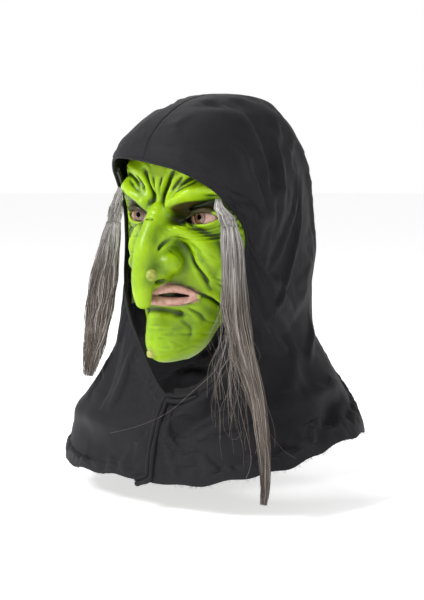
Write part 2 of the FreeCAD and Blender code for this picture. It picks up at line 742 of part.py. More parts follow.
# ---- hair: a weft sewn under the brim at each temple, a short root tuft that swings on it and a long lock ----
def weft(grid, f0, f1):
    g = edge_strip(grid, f0, f1, 9, 1.4, 1.4 + WEFT_W, 4)
    return slab(shifted(g, CLOTH_T + TAPE_T - BITE), shifted(g, CLOTH_T + TAPE_T + WEFT_T))


def stitches(grid, f0, f1):
    # Short threads across the weft, each let into its inner face.
    out = []
    n = 5
    for i in range(n):
        f = f0 + (f1 - f0) * (i + 0.5) / n
        row = edge_strip(grid, f, f + 0.01, 2, 2.4, 0.4 + WEFT_W, 4)[0]
        pts = [inward(q, CLOTH_T + TAPE_T + WEFT_T + 0.15) for q in row]
        out.append(tube(pts, [0.45] * 4))
    return Part.makeCompound(out)


save("left_hair_weft", weft(LEFT, WL0, WL1))
save("left_weft_stitches", stitches(LEFT, WL0, WL1))
save("right_hair_weft", mirror(weft(RIGHT, WR0, WR1)))
save("right_weft_stitches", mirror(stitches(RIGHT, WR0, WR1)))

ROOT_L = [V(58.0, -78.0, 14.5), V(61.0, -79.6, 8.5), V(68.0, -80.0, 1.0), V(72.0, -81.0, -6.0)]
LOCK_L = [V(73.2, -81.4, -9.8), V(76.5, -83.0, -20.0), V(79.5, -84.5, -38.0), V(81.5, -86.0, -60.0), V(85.5, -87.5, -88.0), V(97.5, -90.0, -124.0),
          V(112.0, -93.0, -158.0), V(121.0, -96.5, -196.0), V(124.5, -99.5, -226.0), V(124.0, -101.0, -244.0)]
ROOT_R = [V(-63.0, -70.6, 22.0), V(-64.8, -71.6, 13.5), V(-66.0, -74.0, 3.0), V(-66.2, -76.0, -6.5)]
LOCK_R = [V(-66.4, -76.9, -10.4), V(-67.4, -78.2, -20.0), V(-70.8, -79.6, -40.0), V(-74.8, -81.0, -63.0), V(-78.0, -83.0, -90.0),
          V(-81.2, -84.6, -116.0), V(-85.8, -86.0, -137.0), V(-89.0, -87.0, -154.0)]
save("left_hair_root", tube(ROOT_L, [3.0, 6.0, 9.5, 10.0], [1.6, 2.6, 3.4, 3.0]))
save("left_hair_lock", tube(LOCK_L, [9.5, 12.0, 13.0, 14.5, 15.0, 12.5, 9.5, 7.0, 5.5, 4.0], [2.8, 4.8, 5.4, 5.8, 5.8, 5.4, 5.0, 4.2, 3.4, 2.6]))
save("right_hair_root", tube(ROOT_R, [3.0, 6.0, 9.0, 9.5], [1.6, 2.6, 3.4, 3.0]))
save("right_hair_lock", tube(LOCK_R, [9.0, 11.5, 14.5, 17.5, 18.0, 16.0, 12.0, 8.0], [2.8, 4.8, 5.6, 6.0, 6.0, 5.4, 4.4, 3.4]))
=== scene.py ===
import bpy, json, math
import numpy as np
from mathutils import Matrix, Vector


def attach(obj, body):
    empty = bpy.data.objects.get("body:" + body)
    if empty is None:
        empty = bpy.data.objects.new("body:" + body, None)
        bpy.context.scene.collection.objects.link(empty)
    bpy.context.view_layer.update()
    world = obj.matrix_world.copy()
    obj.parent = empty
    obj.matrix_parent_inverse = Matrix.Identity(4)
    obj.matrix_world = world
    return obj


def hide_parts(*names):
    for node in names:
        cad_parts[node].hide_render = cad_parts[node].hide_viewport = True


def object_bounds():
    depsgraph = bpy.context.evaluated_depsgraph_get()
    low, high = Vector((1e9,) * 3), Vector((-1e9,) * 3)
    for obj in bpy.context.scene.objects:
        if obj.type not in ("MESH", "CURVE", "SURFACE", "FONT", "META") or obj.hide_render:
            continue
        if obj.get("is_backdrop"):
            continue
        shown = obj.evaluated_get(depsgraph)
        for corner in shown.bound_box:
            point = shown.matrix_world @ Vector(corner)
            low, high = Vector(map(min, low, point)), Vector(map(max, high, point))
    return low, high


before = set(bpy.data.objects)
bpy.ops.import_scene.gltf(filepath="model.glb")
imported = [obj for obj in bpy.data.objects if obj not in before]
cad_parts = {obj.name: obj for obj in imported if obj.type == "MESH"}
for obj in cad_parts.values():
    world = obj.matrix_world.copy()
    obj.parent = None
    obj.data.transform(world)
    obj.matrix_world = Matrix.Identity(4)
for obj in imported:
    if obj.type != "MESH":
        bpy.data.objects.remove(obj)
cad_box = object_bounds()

import openvdb as vdb
from mathutils import Vector

rng = np.random.default_rng(11)

# ------------------------------------------------------------------ helpers


def smooth(a, b, t):
    k = np.clip((t - a) / (b - a), 0.0, 1.0)
    return k * k * (3 - 2 * k)


def smin(a, b, k):
    h = np.clip(0.5 + 0.5 * (b - a) / k, 0, 1)
    return b * (1 - h) + a * h - k * h * (1 - h)


def smax(a, b, k):
    return -smin(-a, -b, k)


def mesh_object(name, verts_mm, faces, mat, smooth_shade=True):
    me = bpy.data.meshes.new(name)
    v = (np.asarray(verts_mm, float) * 0.001)
    if isinstance(faces, np.ndarray):
        n, k = faces.shape
        me.vertices.add(len(v))
        me.vertices.foreach_set("co", v.astype(np.float32).ravel())
        me.loops.add(n * k)
        me.loops.foreach_set("vertex_index", faces.astype(np.int32).ravel())
        me.polygons.add(n)
        me.polygons.foreach_set("loop_start", (np.arange(n) * k).astype(np.int32))
        me.polygons.foreach_set("loop_total", np.full(n, k, np.int32))
        me.update(calc_edges=True)
    else:
        me.from_pydata([tuple(p) for p in v], [], [tuple(f) for f in faces])
        me.update()
    if smooth_shade:
        me.polygons.foreach_set("use_smooth", np.ones(len(me.polygons), bool))
    me.validate()
    ob = bpy.data.objects.new(name, me)
    bpy.context.scene.collection.objects.link(ob)
    if mat is not None:
        me.materials.append(mat)
    return ob


def set_attr(ob, name, values):
    a = ob.data.attributes.new(name, 'FLOAT', 'POINT')
    a.data.foreach_set("value", np.asarray(values, np.float32).ravel())


class Nodes:
    # A short way to wire a material.
    def __init__(self, name):
        self.mat = bpy.data.materials.new(name)
        self.mat.use_nodes = True
        self.t = self.mat.node_tree
        self.bsdf = self.t.nodes["Principled BSDF"]

    def new(self, kind, **kw):
        n = self.t.nodes.new(kind)
        for k, v in kw.items():
            setattr(n, k, v)
        return n

    def link(self, a, b):
        self.t.links.new(a, b)

    def value(self, sock, v):
        if isinstance(v, bpy.types.NodeSocket):
            self.link(v, sock)
        else:
            sock.default_value = v

    def attr(self, name):
        return self.new("ShaderNodeAttribute", attribute_name=name).outputs["Fac"]

    def coord(self):
        return self.new("ShaderNodeTexCoord").outputs["Object"]

    def mapping(self, vec, scale, rot=(0, 0, 0)):
        m = self.new("ShaderNodeMapping")
        m.inputs["Scale"].default_value = scale
        m.inputs["Rotation"].default_value = rot
        self.link(vec, m.inputs["Vector"])
        return m.outputs["Vector"]

    def noise(self, scale, detail=3.0, rough=0.5, vec=None, out="Fac"):
        n = self.new("ShaderNodeTexNoise")
        n.inputs["Scale"].default_value = scale
        n.inputs["Detail"].default_value = detail
        n.inputs["Roughness"].default_value = rough
        self.link(vec if vec is not None else self.coord(), n.inputs["Vector"])
        return n.outputs[out]

    def wave(self, scale, vec, distortion=0.0, direction='X', profile='SIN'):
        n = self.new("ShaderNodeTexWave", bands_direction=direction, wave_profile=profile)
        n.inputs["Scale"].default_value = scale
        n.inputs["Distortion"].default_value = distortion
        self.link(vec, n.inputs["Vector"])
        return n.outputs["Fac"]

    def math(self, op, a, b=0.0, c=None):
        n = self.new("ShaderNodeMath", operation=op)
        self.value(n.inputs[0], a)
        self.value(n.inputs[1], b)
        if c is not None:
            self.value(n.inputs[2], c)
        return n.outputs[0]

    def ramp(self, fac, stops, mode='LINEAR'):
        n = self.new("ShaderNodeValToRGB")
        cr = n.color_ramp
        cr.interpolation = mode
        while len(cr.elements) < len(stops):
            cr.elements.new(0.5)
        for e, (p, c) in zip(cr.elements, stops):
            e.position = p
            e.color = (c[0], c[1], c[2], 1) if not isinstance(c, float) else (c, c, c, 1)
        self.link(fac, n.inputs["Fac"])
        return n.outputs["Color"]

    def mix(self, fac, a, b, mode='MIX'):
        n = self.new("ShaderNodeMix", data_type='RGBA', blend_type=mode)
        self.value(n.inputs[0], fac)
        for sock, v in ((n.inputs[6], a), (n.inputs[7], b)):
            if isinstance(v, tuple):
                sock.default_value = (v[0], v[1], v[2], 1)
            else:
                self.link(v, sock)
        return n.outputs[2]

    def bump(self, height, strength=0.3, distance=0.001, normal=None):
        n = self.new("ShaderNodeBump")
        n.inputs["Strength"].default_value = strength
        n.inputs["Distance"].default_value = distance
        self.link(height, n.inputs["Height"])
        if normal is not None:
            self.link(normal, n.inputs["Normal"])
        return n.outputs["Normal"]

    def set(self, **kw):
        names = {"color": "Base Color", "rough": "Roughness", "normal": "Normal", "metal": "Metallic", "sheen": "Sheen Weight",
                 "sheen_rough": "Sheen Roughness", "sheen_tint": "Sheen Tint", "coat": "Coat Weight", "coat_rough": "Coat Roughness",
                 "spec": "Specular IOR Level", "sss": "Subsurface Weight", "ior": "IOR"}
        for k, v in kw.items():
            s = self.bsdf.inputs[names[k]]
            if isinstance(v, tuple):
                s.default_value = (v[0], v[1], v[2], 1)
            else:
                self.value(s, v)
        return self.mat


def srgb(r, g, b):
    def f(c):
        c = c / 255.0
        return c / 12.92 if c <= 0.04045 else ((c + 0.055) / 1.055) ** 2.4
    return (f(r), f(g), f(b))


# ------------------------------------------------------------------ camera, lights and floor
AZ, EL, DIST = math.radians(37.0), math.radians(3.0), 1.5
CENTRE = np.array([0.0, 0.0, 0.0])
sc = bpy.context.scene
cam_data = bpy.data.cameras.new("camera")
cam = bpy.data.objects.new("camera", cam_data)
sc.collection.objects.link(cam)
d = np.array([math.sin(AZ) * math.cos(EL), -math.cos(AZ) * math.cos(EL), math.sin(EL)])
cam.location = tuple(CENTRE + d * DIST)
cam.rotation_euler = (math.pi / 2 - EL, 0, AZ)
cam_data.sensor_fit = 'VERTICAL'
cam_data.sensor_height = 36.0
MM_PER_PX = 0.95
cam_data.lens = 36.0 * DIST * 1000 / (600 * MM_PER_PX)
U0, V0 = 219.0, 212.3
cam_data.shift_x = (212.0 - U0) / 600.0
cam_data.shift_y = (V0 - 300.0) / 600.0
cam_data.clip_start = 0.05
sc.camera = cam

world = bpy.data.worlds.new("studio")
world.use_nodes = True
# A white band at eye level, dimmer overhead and below, as in a softbox tent.
wt = world.node_tree
w_co, w_sep, w_ramp = wt.nodes.new("ShaderNodeTexCoord"), wt.nodes.new("ShaderNodeSeparateXYZ"), wt.nodes.new("ShaderNodeValToRGB")
w_add = wt.nodes.new("ShaderNodeMath")
w_add.operation = 'MULTIPLY_ADD'
w_add.inputs[1].default_value = 0.5
w_add.inputs[2].default_value = 0.5
wt.links.new(w_co.outputs["Generated"], w_sep.inputs["Vector"])
wt.links.new(w_sep.outputs["Z"], w_add.inputs[0])
wt.links.new(w_add.outputs[0], w_ramp.inputs["Fac"])
wt.links.new(w_ramp.outputs["Color"], wt.nodes["Background"].inputs["Color"])
while len(w_ramp.color_ramp.elements) < 4:
    w_ramp.color_ramp.elements.new(0.5)
for e_, (p_, c_) in zip(w_ramp.color_ramp.elements, [(0.32, 0.30), (0.40, 1.0), (0.60, 1.0), (0.68, 0.32)]):
    e_.position = p_
    e_.color = (c_, c_, c_, 1)
wt.nodes["Background"].inputs["Strength"].default_value = 1.0
sc.world = world
sc.view_settings.view_transform = 'Standard'


def area(name, loc, target, size, power, color=(1, 1, 1)):
    ld = bpy.data.lights.new(name, 'AREA')
    ld.shape = 'RECTANGLE'
    ld.size, ld.size_y = size
    ld.energy = power
    ld.color = color
    ob = bpy.data.objects.new(name, ld)
    sc.collection.objects.link(ob)
    v = np.array(target) - np.array(loc)
    v = v / np.linalg.norm(v)
    ob.location = loc
    ob.rotation_euler = Vector(v).to_track_quat('-Z', 'Y').to_euler()
    return ob


area("key", (-0.55, -1.35, 1.25), (0, -0.05, -0.02), (0.7, 0.7), 32)
area("fill", (1.5, -0.9, 0.4), (0, 0, -0.08), (1.0, 1.4), 2.5)
area("rim", (-1.0, 0.8, 1.3), (0, 0, 0), (0.9, 0.9), 6)

# ------------------------------------------------------------------ the hood's level curves (same as the CAD frame)
MID_Y = 5.0
LEVELS = np.array([
    (113.5, 0.0, 5.0, 5.0, 2.0, 2.0), (107.0, 36.0, -44.0, 50.0, 2.0, 2.0), (97.0, 52.0, -69.0, 68.0, 2.1, 2.0), (82.0, 63.0, -92.0, 82.0, 2.3, 2.1),
    (64.0, 71.0, -108.0, 93.0, 2.6, 2.1), (46.0, 76.0, -113.0, 99.0, 2.7, 2.1), (20.0, 79.0, -110.0, 104.0, 2.5, 2.1), (-15.0, 81.0, -105.0, 106.0, 2.3, 2.1),
    (-55.0, 82.0, -98.0, 103.0, 2.2, 2.1), (-90.0, 84.0, -91.0, 99.0, 2.2, 2.1), (-118.0, 92.0, -87.0, 97.0, 2.3, 2.1), (-143.0, 112.0, -92.0, 97.0, 2.5, 2.1),
    (-168.0, 130.0, -103.0, 99.0, 2.6, 2.1), (-195.0, 143.0, -112.0, 103.0, 2.6, 2.1), (-220.0, 148.0, -117.0, 107.0, 2.6, 2.1), (-245.0, 150.5, -119.5, 110.5, 2.6, 2.1),
    (-270.0, 152.0, -121.0, 112.0, 2.6, 2.1)])[::-1]


def pchip_slopes(x, y):
    h = np.diff(x)
    dl = np.diff(y) / h
    m = np.zeros_like(y)
    m[0], m[-1] = dl[0], dl[-1]
    for i in range(1, len(x) - 1):
        if dl[i - 1] * dl[i] > 0:
            w1, w2 = 2 * h[i] + h[i - 1], h[i] + 2 * h[i - 1]
            m[i] = (w1 + w2) / (w1 / dl[i - 1] + w2 / dl[i])
    return m


LZ = LEVELS[:, 0]
LC = [LEVELS[:, 1] ** 2, (LEVELS[:, 2] - MID_Y) ** 2, (LEVELS[:, 3] - MID_Y) ** 2, LEVELS[:, 4], LEVELS[:, 5]]
LM = [pchip_slopes(LZ, c) for c in LC]


def level(z):
    z = np.clip(z, LZ[0], LZ[-1])
    i = np.clip(np.searchsorted(LZ, z, side='right') - 1, 0, len(LZ) - 2)
    h = LZ[i + 1] - LZ[i]
    t = (z - LZ[i]) / h
    out = []
    for c, m in zip(LC, LM):
        out.append((2 * t ** 3 - 3 * t ** 2 + 1) * c[i] + (t ** 3 - 2 * t ** 2 + t) * m[i] * h + (3 * t ** 2 - 2 * t ** 3) * c[i + 1] + (t ** 3 - t ** 2) * m[i + 1] * h)
    return out


def hood_field(p):
    x, y, z = p[..., 0], p[..., 1], p[..., 2]
    a2, f2, b2, nf, nb = level(z)
    a2, f2, b2 = np.maximum(a2, 4), np.maximum(f2, 4), np.maximum(b2, 4)
    front = y < MID_Y
    n = np.where(front, nf, nb)
    w2 = np.where(front, f2, b2)
    r = ((np.abs(x) / np.sqrt(a2)) ** n + (np.abs(y - MID_Y) / np.sqrt(w2)) ** n) ** (1 / n)
    return (r - 1) * np.sqrt(np.minimum(a2, w2)) + np.maximum(0, z - 113.3) * 3


def hood_grad(p):
    g = np.zeros_like(p)
    for k in range(3):
        e = np.zeros(3)
        e[k] = 0.4
        g[..., k] = (hood_field(p + e) - hood_field(p - e)) / 0.8
    return g


def onto(p, steps=4):
    for _ in range(steps):
        g = hood_grad(p)
        k = np.maximum((g ** 2).sum(-1), 1e-4)
        st = g * (hood_field(p) / k)[..., None]
        ln = np.sqrt((st ** 2).sum(-1, keepdims=True))
        st = st * np.minimum(1, 12 / np.maximum(ln, 1e-9))
        p = p - st
    return p


def hood_x(y, z):
    a2, f2, b2, nf, nb = level(z)
    front = y < MID_Y
    n = np.where(front, nf, nb)
    w2 = np.where(front, f2, b2)
    return np.sqrt(a2) * np.maximum(0, 1 - (np.abs(y - MID_Y) / np.sqrt(w2)) ** n) ** (1 / n)


# ------------------------------------------------------------------ the latex face, sculpted as a distance field
H = 1.05
XS = np.arange(-82, 82 + H, H)
YS = np.arange(-136, -31 + H, H)
ZS = np.arange(-142, 94 + H, H)
X, Y, Z = XS[:, None, None], YS[None, :, None], ZS[None, None, :]
FACE = np.array([
    (96.0, 20.0, -40.0, -22.0, 2.0), (88.0, 40.0, -58.0, -20.0, 2.0), (80.0, 53.0, -74.0, -18.0, 2.0), (66.0, 62.0, -85.0, -16.0, 2.1), (46.0, 68.0, -92.0, -15.0, 2.3),
    (26.0, 70.0, -92.0, -15.0, 2.25), (4.0, 66.5, -85.0, -15.0, 2.0), (-18.0, 66.0, -83.0, -15.0, 2.0), (-40.0, 65.0, -87.0, -15.0, 1.9), (-60.0, 62.0, -92.0, -15.0, 1.75),
    (-78.0, 55.0, -95.0, -20.0, 1.7), (-90.0, 45.0, -92.0, -34.0, 1.75), (-101.0, 36.0, -86.0, -52.0, 1.95), (-116.0, 29.5, -87.0, -62.0, 2.0), (-125.0, 23.0, -86.0, -65.0, 2.0),
    (-132.0, 12.0, -80.0, -66.0, 2.0), (-138.0, 1.0, -70.0, -67.0, 2.0)])[::-1]


def face_rows(z):
    cols = []
    for k in range(1, 5):
        c = np.interp(z, FACE[:, 0], FACE[:, k])
        cols.append(c)
    return cols


zf = np.arange(ZS[0] - 20, ZS[-1] + 20, 0.5)
ker = np.exp(-(np.arange(-16, 17) * 0.5 / 4.2) ** 2)
ker /= ker.sum()
rows = [np.interp(ZS, zf, np.convolve(np.pad(c, 16, mode='edge'), ker, mode='valid')) for c in face_rows(zf)]
A, YF, CY, NP = [r[None, None, :] for r in rows]
depth = np.maximum(CY - YF, 6)
front = Y < CY
r = (np.abs(X / A) ** NP + (np.abs(Y - CY) / np.where(front, depth, 60.0)) ** NP) ** (1 / NP)
D = (r - 1) * np.minimum(A, depth)
gx, gy, gz = np.gradient(D, H)
D = D / np.clip(np.sqrt(gx * gx + gy * gy + gz * gz), 0.35, 3.0)
# The rear flange spreads out to the cloth.
HX = hood_x(Y + 0 * Z, Z + 0 * Y) - 2.7
w = smooth(-66, -48, Y) * smooth(-86, -64, Z) * smooth(92, 74, Z)
D = D * (1 - w) + (np.abs(X) - HX) * w
gx, gy, gz = np.gradient(D, H)
D = D / np.clip(np.sqrt(gx * gx + gy * gy + gz * gz), 0.6, 3.0)
D = np.maximum(D, -131.5 - Z)
D = D.astype(np.float32)

# ---- relief drawn on the front view: strokes in (x, z), mirrored unless one-sided
HX2 = np.zeros((len(XS), len(ZS)), np.float32)
XG, ZG = XS[:, None], ZS[None, :]


def seg_dist(ax, az, bx, bz, x, z):
    dx, dz = bx - ax, bz - az
    t = np.clip(((x - ax) * dx + (z - az) * dz) / (dx * dx + dz * dz + 1e-9), 0, 1)
    return np.hypot(x - ax - t * dx, z - az - t * dz), t


def curve(pts, n=24):
    # A smooth path through the points (Catmull-Rom).
    p = np.array([pts[0]] + list(pts) + [pts[-1]], float)
    out = []
    segs = len(pts) - 1
    for i in range(segs):
        a, b, c, e = p[i], p[i + 1], p[i + 2], p[i + 3]
        for t in np.linspace(0, 1, max(2, n // segs), endpoint=False):
            out.append(0.5 * ((2 * b) + (c - a) * t + (2 * a - 5 * b + 4 * c - e) * t * t + (-a + 3 * b - 3 * c + e) * t ** 3))
    out.append(p[-2])
    return np.array(out)


def stroke(pts, width, height, both=True, taper=True, field=None):
    f = HX2 if field is None else field
    path = curve(pts)
    n = len(path)
    best = np.full(f.shape, 1e9, np.float32)
    ws = np.zeros(f.shape, np.float32)
    for s in ((1, -1) if both else (1,)):
        for i in range(n - 1):
            dd, t = seg_dist(s * path[i][0], path[i][1], s * path[i + 1][0], path[i + 1][1], XG, ZG)
            u = (i + t) / (n - 1)
            m = dd < best
            best = np.where(m, dd, best)
            ws = np.where(m, u, ws)
    k = np.sin(np.pi * np.clip(ws, 0.02, 0.98)) ** 0.5 if taper else 1.0
    f += height * k * np.exp(-(best / width) ** 2)


def blob(cx, cz, sx, sz, h, both=True):
    global HX2
    for s in ((1, -1) if both else (1,)):
        HX2 += h * np.exp(-((XG - s * cx) / sx) ** 2 - ((ZG - cz) / sz) ** 2).astype(np.float32)


# brow: low over the nose and rising outward, a scowl
stroke([(7, 6), (13, 6), (24, 14), (38, 23), (50, 25.5), (60, 19), (67, 8)], 7.6, 9.5)
blob(14.5, 12, 7.5, 8.5, 6.0)
blob(30, 21, 12, 7, 2.5)
stroke([(14, 30), (28, 40), (44, 45), (58, 40)], 5.5, 3.4)
stroke([(22, 28.5), (34, 35), (48, 37), (60, 31)], 1.6, -2.6)
stroke([(20, 22), (30, 27), (40, 33)], 1.2, -1.3)
stroke([(44, 20), (54, 19.5), (62, 14)], 1.2, -1.2)
stroke([(8, 44), (20, 52), (38, 55), (52, 50)], 1.5, -1.3)
# glabella: a V of deep folds, then cross folds at the root of the nose
blob(0, 24, 7, 12, 3.0, both=False)
stroke([(17, 42), (11.5, 31), (6.0, 20), (5.2, 9)], 2.5, -6.5)
stroke([(5.0, 36), (3.2, 27), (1.6, 18)], 1.4, -2.2)
stroke([(10.5, 40), (7.5, 31), (4.2, 22)], 1.6, 1.8)
stroke([(27, 37), (21, 31), (15.5, 24)], 1.8, -3.0)
stroke([(34, 35), (27, 30), (21, 25)], 1.2, -1.6)
# sockets
blob(36, 0.5, 18, 9.5, -8.0)
blob(16.5, -6, 6, 9, -6.5)
# pouches and arcs under the eye
for k, (rad, hgt) in enumerate([(13.2, -1.2), (16.2, -1.7), (19.3, -1.5), (22.6, -1.2), (26.4, -0.8)]):
    arc = [(37.5 + rad * 1.3 * math.cos(a), 2 + rad * 0.84 * math.sin(a)) for a in np.radians(np.linspace(214 + 3 * k, 348 - 3 * k, 7))]
    stroke(arc, 1.1, hgt)
    arc = [(37.5 + (rad + 1.6) * 1.3 * math.cos(a), 2 + (rad + 1.6) * 0.84 * math.sin(a)) for a in np.radians(np.linspace(214 + 3 * k, 348 - 3 * k, 7))]
    stroke(arc, 1.4, 0.8)
# crow's feet
for a, b in (((56, 6), (69, 13)), ((57, 2), (70, 5)), ((57, -2), (70, -3)), ((55, -6), (69, -11)), ((54, -10), (67, -18))):
    stroke([a, ((a[0] + b[0]) / 2, (a[1] + b[1]) / 2 + 1), b], 1.1, -1.3)
# the snarl: a fold that leaves the nose, arches over the wing and runs down the cheek, with a second one inside it
stroke([(9, -17), (15, -9), (25, -9), (37, -18), (46, -36), (51, -58)], 6.5, 6.0)
stroke([(10, -29), (15, -21), (24, -20), (32, -27), (36, -40), (42, -56)], 4.2, 4.0)
stroke([(11, -21), (16, -15.2), (24, -14.8), (31, -20), (36, -28)], 1.4, -3.4)
stroke([(29.5, -34), (31.5, -42), (37, -52), (40, -60)], 1.7, -3.2)
stroke([(33, -50), (38, -59), (41, -67)], 1.1, -1.3)
blob(47, -30, 14, 13, 4.5)
blob(50, -72, 8, 16, -2.0)
# the corner of the mouth pulled down
stroke([(34, -69.5), (40, -75), (44.5, -83), (46, -92)], 1.7, -3.8)
stroke([(39, -68), (46, -76), (49, -88)], 3.0, 2.2)
stroke([(46, -60), (51, -66), (55, -70)], 1.0, -1.6)
stroke([(44, -54), (50, -58.5), (56, -61)], 0.9, -0.9)
# muzzle: upper lip swell, dent under the lower lip, chin
blob(0, -60, 24, 9, 1.5, both=False)
stroke([(-17, -86.5), (0, -84.5), (17, -86.5)], 3.2, -3.6, both=False)
blob(18, -88, 4.0, 3.6, -3.0)
stroke([(25, -82), (31, -88), (33, -96)], 1.4, -1.4)
blob(0, -106, 14, 12, 3.0, both=False)
stroke([(20, -92), (25, -101), (24, -111)], 1.1, -0.8)
# fine skin lines, each its own short stroke
for _ in range(56):
    x0, z0 = rng.uniform(20, 66), rng.uniform(-112, -14)
    if x0 < 34 and -60 < z0:
        continue
    ang = math.radians(rng.normal(-40, 14))
    ln = rng.uniform(5, 13)
    sx = 1 if rng.random() < 0.5 else -1
    p0 = (sx * x0, z0)
    p2 = (sx * (x0 + ln * math.cos(ang)), z0 + ln * math.sin(ang))
    p1 = ((p0[0] + p2[0]) / 2 + rng.normal(0, 1.0), (p0[1] + p2[1]) / 2 + rng.normal(0, 1.0))
    stroke([p0, p1, p2], rng.uniform(0.8, 1.1), -rng.uniform(0.3, 0.65), both=False)
for _ in range(16):
    x0 = rng.uniform(-52, 52)
    z0 = rng.uniform(40, 64)
    ln = rng.uniform(8, 20)
    stroke([(x0 - ln / 2, z0 + rng.normal(0, 1.5)), (x0, z0 + 1.5), (x0 + ln / 2, z0 + rng.normal(0, 1.5))], 1.2, -rng.uniform(0.4, 0.8), both=False)

facing = smooth(-40, -60, Y)
D -= HX2[:, None, :] * facing


# ---- volumes: nose, wings, lids, lips, warts
def box_slice(lo, hi):
    out = []
    for ax, l, h_ in ((XS, lo[0], hi[0]), (YS, lo[1], hi[1]), (ZS, lo[2], hi[2])):
        out.append(slice(int(np.searchsorted(ax, l)), int(np.searchsorted(ax, h_, side='right'))))
    return tuple(out)


def apply(lo, hi, fn):
    s = box_slice(lo, hi)
    x, y, z = XS[s[0]][:, None, None], YS[s[1]][None, :, None], ZS[s[2]][None, None, :]
    D[s] = fn(D[s], x, y, z)


def tube_dist(x, y, z, pts, radii, flat=1.0):
    best = None
    for i in range(len(pts) - 1):
        a, b = np.array(pts[i], float), np.array(pts[i + 1], float)
        ab = b - a
        t = np.clip(((x - a[0]) * ab[0] + (y - a[1]) * ab[1] + (z - a[2]) * ab[2]) / (ab @ ab), 0, 1)
        rr = radii[i] + (radii[i + 1] - radii[i]) * t
        dd = np.sqrt(((x - a[0] - t * ab[0]) * flat) ** 2 + (y - a[1] - t * ab[1]) ** 2 + (z - a[2] - t * ab[2]) ** 2) - rr
        best = dd if best is None else np.minimum(best, dd)
    return best


def chain(pts, radii, k, n=14, sign=1, flat=1.0):
    m = len(pts)
    q = curve([tuple(p) + (r_,) for p, r_ in zip(pts, radii)], n=n * (m - 1))
    pr, rr = q[:, :3], q[:, 3]
    pad = max(radii) + k + 3
    lo, hi = pr.min(0) - pad, pr.max(0) + pad

    def fn(dv, x, y, z):
        t = tube_dist(x, y, z, pr, rr, flat)
        return smin(dv, t, k) if sign > 0 else smax(dv, -t, k)
    apply(lo, hi, fn)


def ball(c, rad, k, sign=1):
    c, rad = np.array(c, float), np.array(rad, float) * np.ones(3)
    lo, hi = c - rad - k - 3, c + rad + k + 3

    def fn(dv, x, y, z):
        q = np.sqrt(((x - c[0]) / rad[0]) ** 2 + ((y - c[1]) / rad[1]) ** 2 + ((z - c[2]) / rad[2]) ** 2)
        t = (q - 1) * rad.min()
        return smin(dv, t, k) if sign > 0 else smax(dv, -t, k)
    apply(lo, hi, fn)


# chin first, so that the lips lie over it
ball((0, -79.5, -104), (19, 17.5, 18), 9)
ball((0, -82, -117.5), (17, 16, 14.5), 8)
ball((0, -88, -121), (9, 10.5, 9.5), 6)
# nose: a broad wedge that widens to the face, then the long drooping ridge over it
chain([(0, -84, 2), (0, -87, -13), (0, -88, -29), (0, -88, -43)], [10.5, 15.0, 19.0, 20.0], 10.0)
chain([(0, -93, 0), (0, -97, -14), (0, -100.5, -30), (0, -103, -45), (0, -104, -58)], [7.5, 9.5, 11.5, 11.8, 8.5], 9.0)
chain([(0, -91.5, 6), (0, -96.5, -1), (0, -102.5, -11), (0, -107.8, -22), (0, -111, -34), (0, -112.2, -46), (0, -113.4, -57), (0, -113.8, -67), (0, -112.8, -75)],
      [5.2, 6.0, 7.4, 8.8, 9.8, 10.3, 10.0, 8.6, 7.0], 5.0, flat=0.96)
for s in (1, -1):
    ball((s * 17.5, -95.5, -41.0), (10.5, 11.5, 9.6), 5.0)
    ball((s * 9.5, -103.5, -52), (7, 9, 7), 6.0)
    # the arch of the snarl, and the fold under it
    chain([(s * 9, -99.5, -27), (s * 13, -96, -18), (s * 20, -91, -12.5), (s * 28, -86, -14.5), (s * 36, -79.5, -21.5), (s * 43, -73, -29), (s * 49, -66, -38), (s * 52, -60, -46)],
          [2.8, 4.6, 5.2, 5.4, 5.0, 4.4, 3.4, 2.0], 7.5, n=5)
    chain([(s * 8.5, -107, -37), (s * 11.5, -104, -27), (s * 18.5, -98.2, -20.5), (s * 26.5, -92.8, -22), (s * 32.5, -87.6, -31), (s * 34.5, -85.5, -42)], [0.5, 1.1, 1.5, 1.5, 1.4, 0.7], 3.2, n=5, sign=-1)
    # the groove round the wing, the nostril, and the cross folds at the root
    chain([(s * 20, -97, -30), (s * 27.0, -93.0, -34.5), (s * 29.8, -90.0, -42), (s * 27.0, -90, -50), (s * 20, -94, -54)], [0.8, 1.5, 2.0, 1.8, 1.0], 2.6, n=8, sign=-1)
    ball((s * 12.0, -103.0, -57.5), (5.0, 6.5, 3.2), 2.0, sign=-1)
for zz, yy in ((6.0, -97.6), (2.0, -100.6), (-2.4, -104.6)):
    chain([(-7.5, yy + 7, zz - 2.5), (-3.5, yy + 1.2, zz), (0, yy + 0.2, zz + 0.6), (3.5, yy + 1.2, zz), (7.5, yy + 7, zz - 2.5)], [0.4, 0.7, 0.8, 0.7, 0.4], 1.8, n=5, sign=-1)

EX, EY, EZ, ER = 35.5, -57.0, 0.0, 20.0
lid_up = [(-17.4, -3.8), (-12.5, -0.3), (-4, 2.9), (5, 4.5), (12.5, 3.9), (17.8, -0.4)]
lid_lo = [(-17.4, -3.4), (-11, -5.8), (-2, -6.6), (7, -6.0), (13.5, -3.8), (17.8, -0.4)]


def on_ball(u, v, rad):
    return (u, -math.sqrt(max(rad * rad - u * u - v * v, 9.0)), v)


